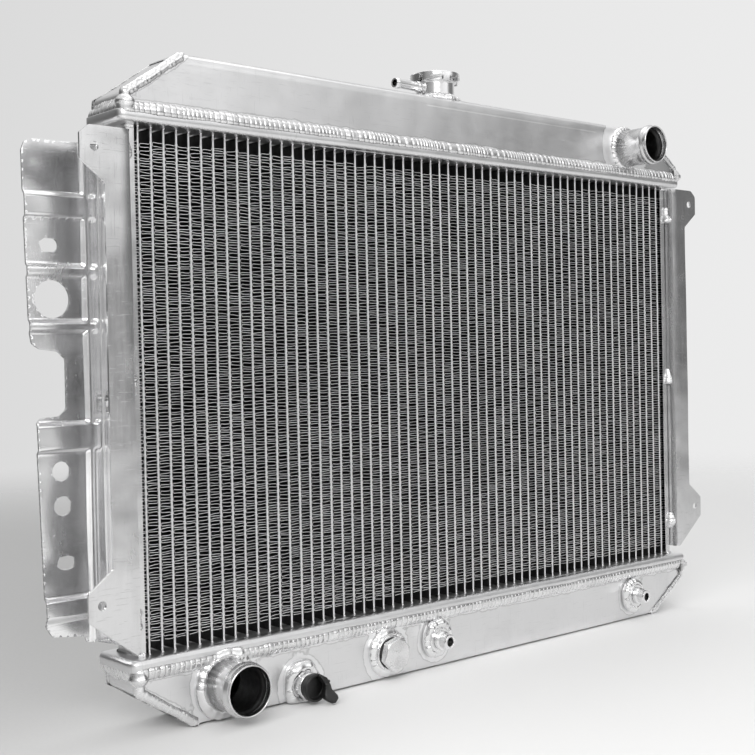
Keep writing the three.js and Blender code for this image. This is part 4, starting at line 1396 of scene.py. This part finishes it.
# ---------- stage ----------
def build_floor():
    """A pale studio floor, painted darker towards the left as shade, that fades softly into the backdrop's
    own tone away from the object.
    """
    s = Shade("studio_floor", metallic=0.0)
    s.put(s.spread(s.noise(300, 3, 0.6), 0.3, 0.7, 0.62, 0.78), s.shader.inputs["Roughness"])
    # Painted shade: the floor's colour runs from 0.42 on the left to 0.76 on the right, darker where less
    # light falls.
    x, y, _ = s.axes(s.where)
    sideways = s.math("SUBTRACT", x, y)
    s.put(s.spread(sideways, -0.62, 0.05, 0.42, 0.76, smooth=True), s.shader.inputs["Base Color"])
    distance = s.node("VectorMath", {0: s.where}, operation="LENGTH").outputs["Value"]
    fade = s.spread(distance, 0.9, 2.6, smooth=True)
    clear = s.node("BsdfTransparent").outputs["BSDF"]
    mixer = s.node("MixShader", {0: fade, 1: s.shader.outputs["BSDF"], 2: clear})
    s.put(mixer.outputs[0], s.out.inputs["Surface"])
    below, rings, sides = -0.0006, 13, 64
    angles = np.linspace(0, 2 * math.pi, sides, endpoint=False)
    verts = [(r * math.cos(a), r * math.sin(a), below) for r in np.linspace(0, 3.0, rings) for a in angles]
    mesh = bpy.data.meshes.new("studio_floor")
    mesh.from_pydata(verts, [], quads(rings, sides, close_columns=True, flip=True))
    mesh.materials.append(s.material)
    floor = bpy.data.objects.new("studio_floor", mesh)
    bpy.context.scene.collection.objects.link(floor)


def area_light(name, place, target, size, power):
    data = bpy.data.lights.new(name, "AREA")
    data.shape = "RECTANGLE"
    data.size, data.size_y = size
    data.energy = power
    data.color = (1.0, 0.995, 0.985)
    light = bpy.data.objects.new(name, data)
    light.location = place
    light.rotation_euler = (Vector(target) - Vector(place)).to_track_quat("-Z", "Y").to_euler()
    bpy.context.scene.collection.objects.link(light)
    return light


def build_world():
    """A studio room: tones by direction, so each metal face reflects the part of the room that it faces."""
    world = bpy.data.worlds.new("studio")
    bpy.context.scene.world = world
    world.use_nodes = True
    s = Nodes(world.node_tree)
    x, y, z = s.axes(s.node("TexCoord").outputs["Generated"])

    def ramp(along, *stops):
        """A grey that follows stops of (position, tone) along a direction from -1 to 1."""
        part = s.node("MapRange", {"Value": along, "From Min": -1, "From Max": 1})
        made = s.node("ValToRGB", {"Fac": part.outputs["Result"]})
        elements = made.color_ramp.elements
        for place, tone in stops[1:-1]:
            elements.new((place + 1) / 2).color = (tone, tone, tone, 1)
        for end in (0, -1):
            elements[end].color = (*[stops[end][1]] * 3, 1)
        return made.outputs["Color"]

    def blend(factor, a, b):
        return s.node("Mix", {0: factor, 6: a, 7: b}, data_type="RGBA").outputs[2]

    behind = ramp(
        x,
        *((-1, 0.12), (-0.5, 0.11), (-0.1, 0.36), (0.2, 0.62), (0.41, 0.71), (0.85, 0.84), (1, 0.66)),
    )
    high = ramp(
        x,
        *((-1, 0.3), (-0.5, 0.85), (0, 1.15), (0.48, 1.5), (0.57, 1.3)),
        *((0.64, 0.78), (0.69, 0.36), (0.78, 0.2), (1, 0.2)),
    )
    level = ramp(x, (-1, 0.30), (0, 0.40), (0.42, 0.24), (0.7, 0.20), (0.82, 0.16), (1, 0.2))
    low = ramp(x, (-1, 0.8), (1, 0.8))
    rising = ramp(z, (-1, 0), (0.05, 0), (0.22, 1), (1, 1))
    falling = ramp(z, (-1, 1), (-0.12, 1), (-0.02, 0), (1, 0))
    overhead = ramp(z, (-1, 0), (0.45, 0), (0.75, 1), (1, 1))
    white = ramp(z, (-1, 0.8), (1, 0.82))
    front = blend(falling, blend(rising, level, high), low)
    rear = ramp(y, (-1, 0), (-0.14, 0), (0.12, 1), (1, 1))
    room = blend(overhead, blend(rear, front, behind), white)
    back = s.node("Background", {"Color": room, "Strength": 1.0})
    s.node("OutputWorld", {"Surface": back.outputs[0]})


def build_camera():
    place = Vector((-0.8315, -0.8600, 0.2856))
    yaw, pitch, roll = 0.720, 0.0160, -0.0205
    ahead = Vector((math.sin(yaw) * math.cos(pitch), math.cos(yaw) * math.cos(pitch), -math.sin(pitch)))
    right = Vector((math.cos(yaw), -math.sin(yaw), 0))
    up = right.cross(ahead)
    turned_right = math.cos(roll) * right + math.sin(roll) * up
    turned_up = -math.sin(roll) * right + math.cos(roll) * up
    data = bpy.data.cameras.new("camera")
    data.sensor_width = 36.0
    data.sensor_fit = "HORIZONTAL"
    data.lens = 60.08
    data.clip_start = 0.02
    camera = bpy.data.objects.new("camera", data)
    columns = (turned_right, turned_up, -ahead, place)
    camera.matrix_world = Matrix([[column[row] for column in columns] for row in range(3)] + [(0, 0, 0, 1)])
    bpy.context.scene.collection.objects.link(camera)
    bpy.context.scene.camera = camera


build_floor()
build_world()
area_light("key_panel", (-1.6, -2.4, 2.1), (0, 0, 0.25), (1.8, 1.2), 34)
area_light("top_panel", (0.3, 0.2, 2.6), (0, 0, 0.25), (2.4, 1.6), 12)
area_light("floor_fill", (-1.7, -0.9, 1.0), (-0.3, -0.2, 0), (1.4, 1.0), 26).visible_glossy = False
build_camera()
bpy.context.scene.view_settings.view_transform = "Standard"
bpy.context.scene.view_settings.look = "None"
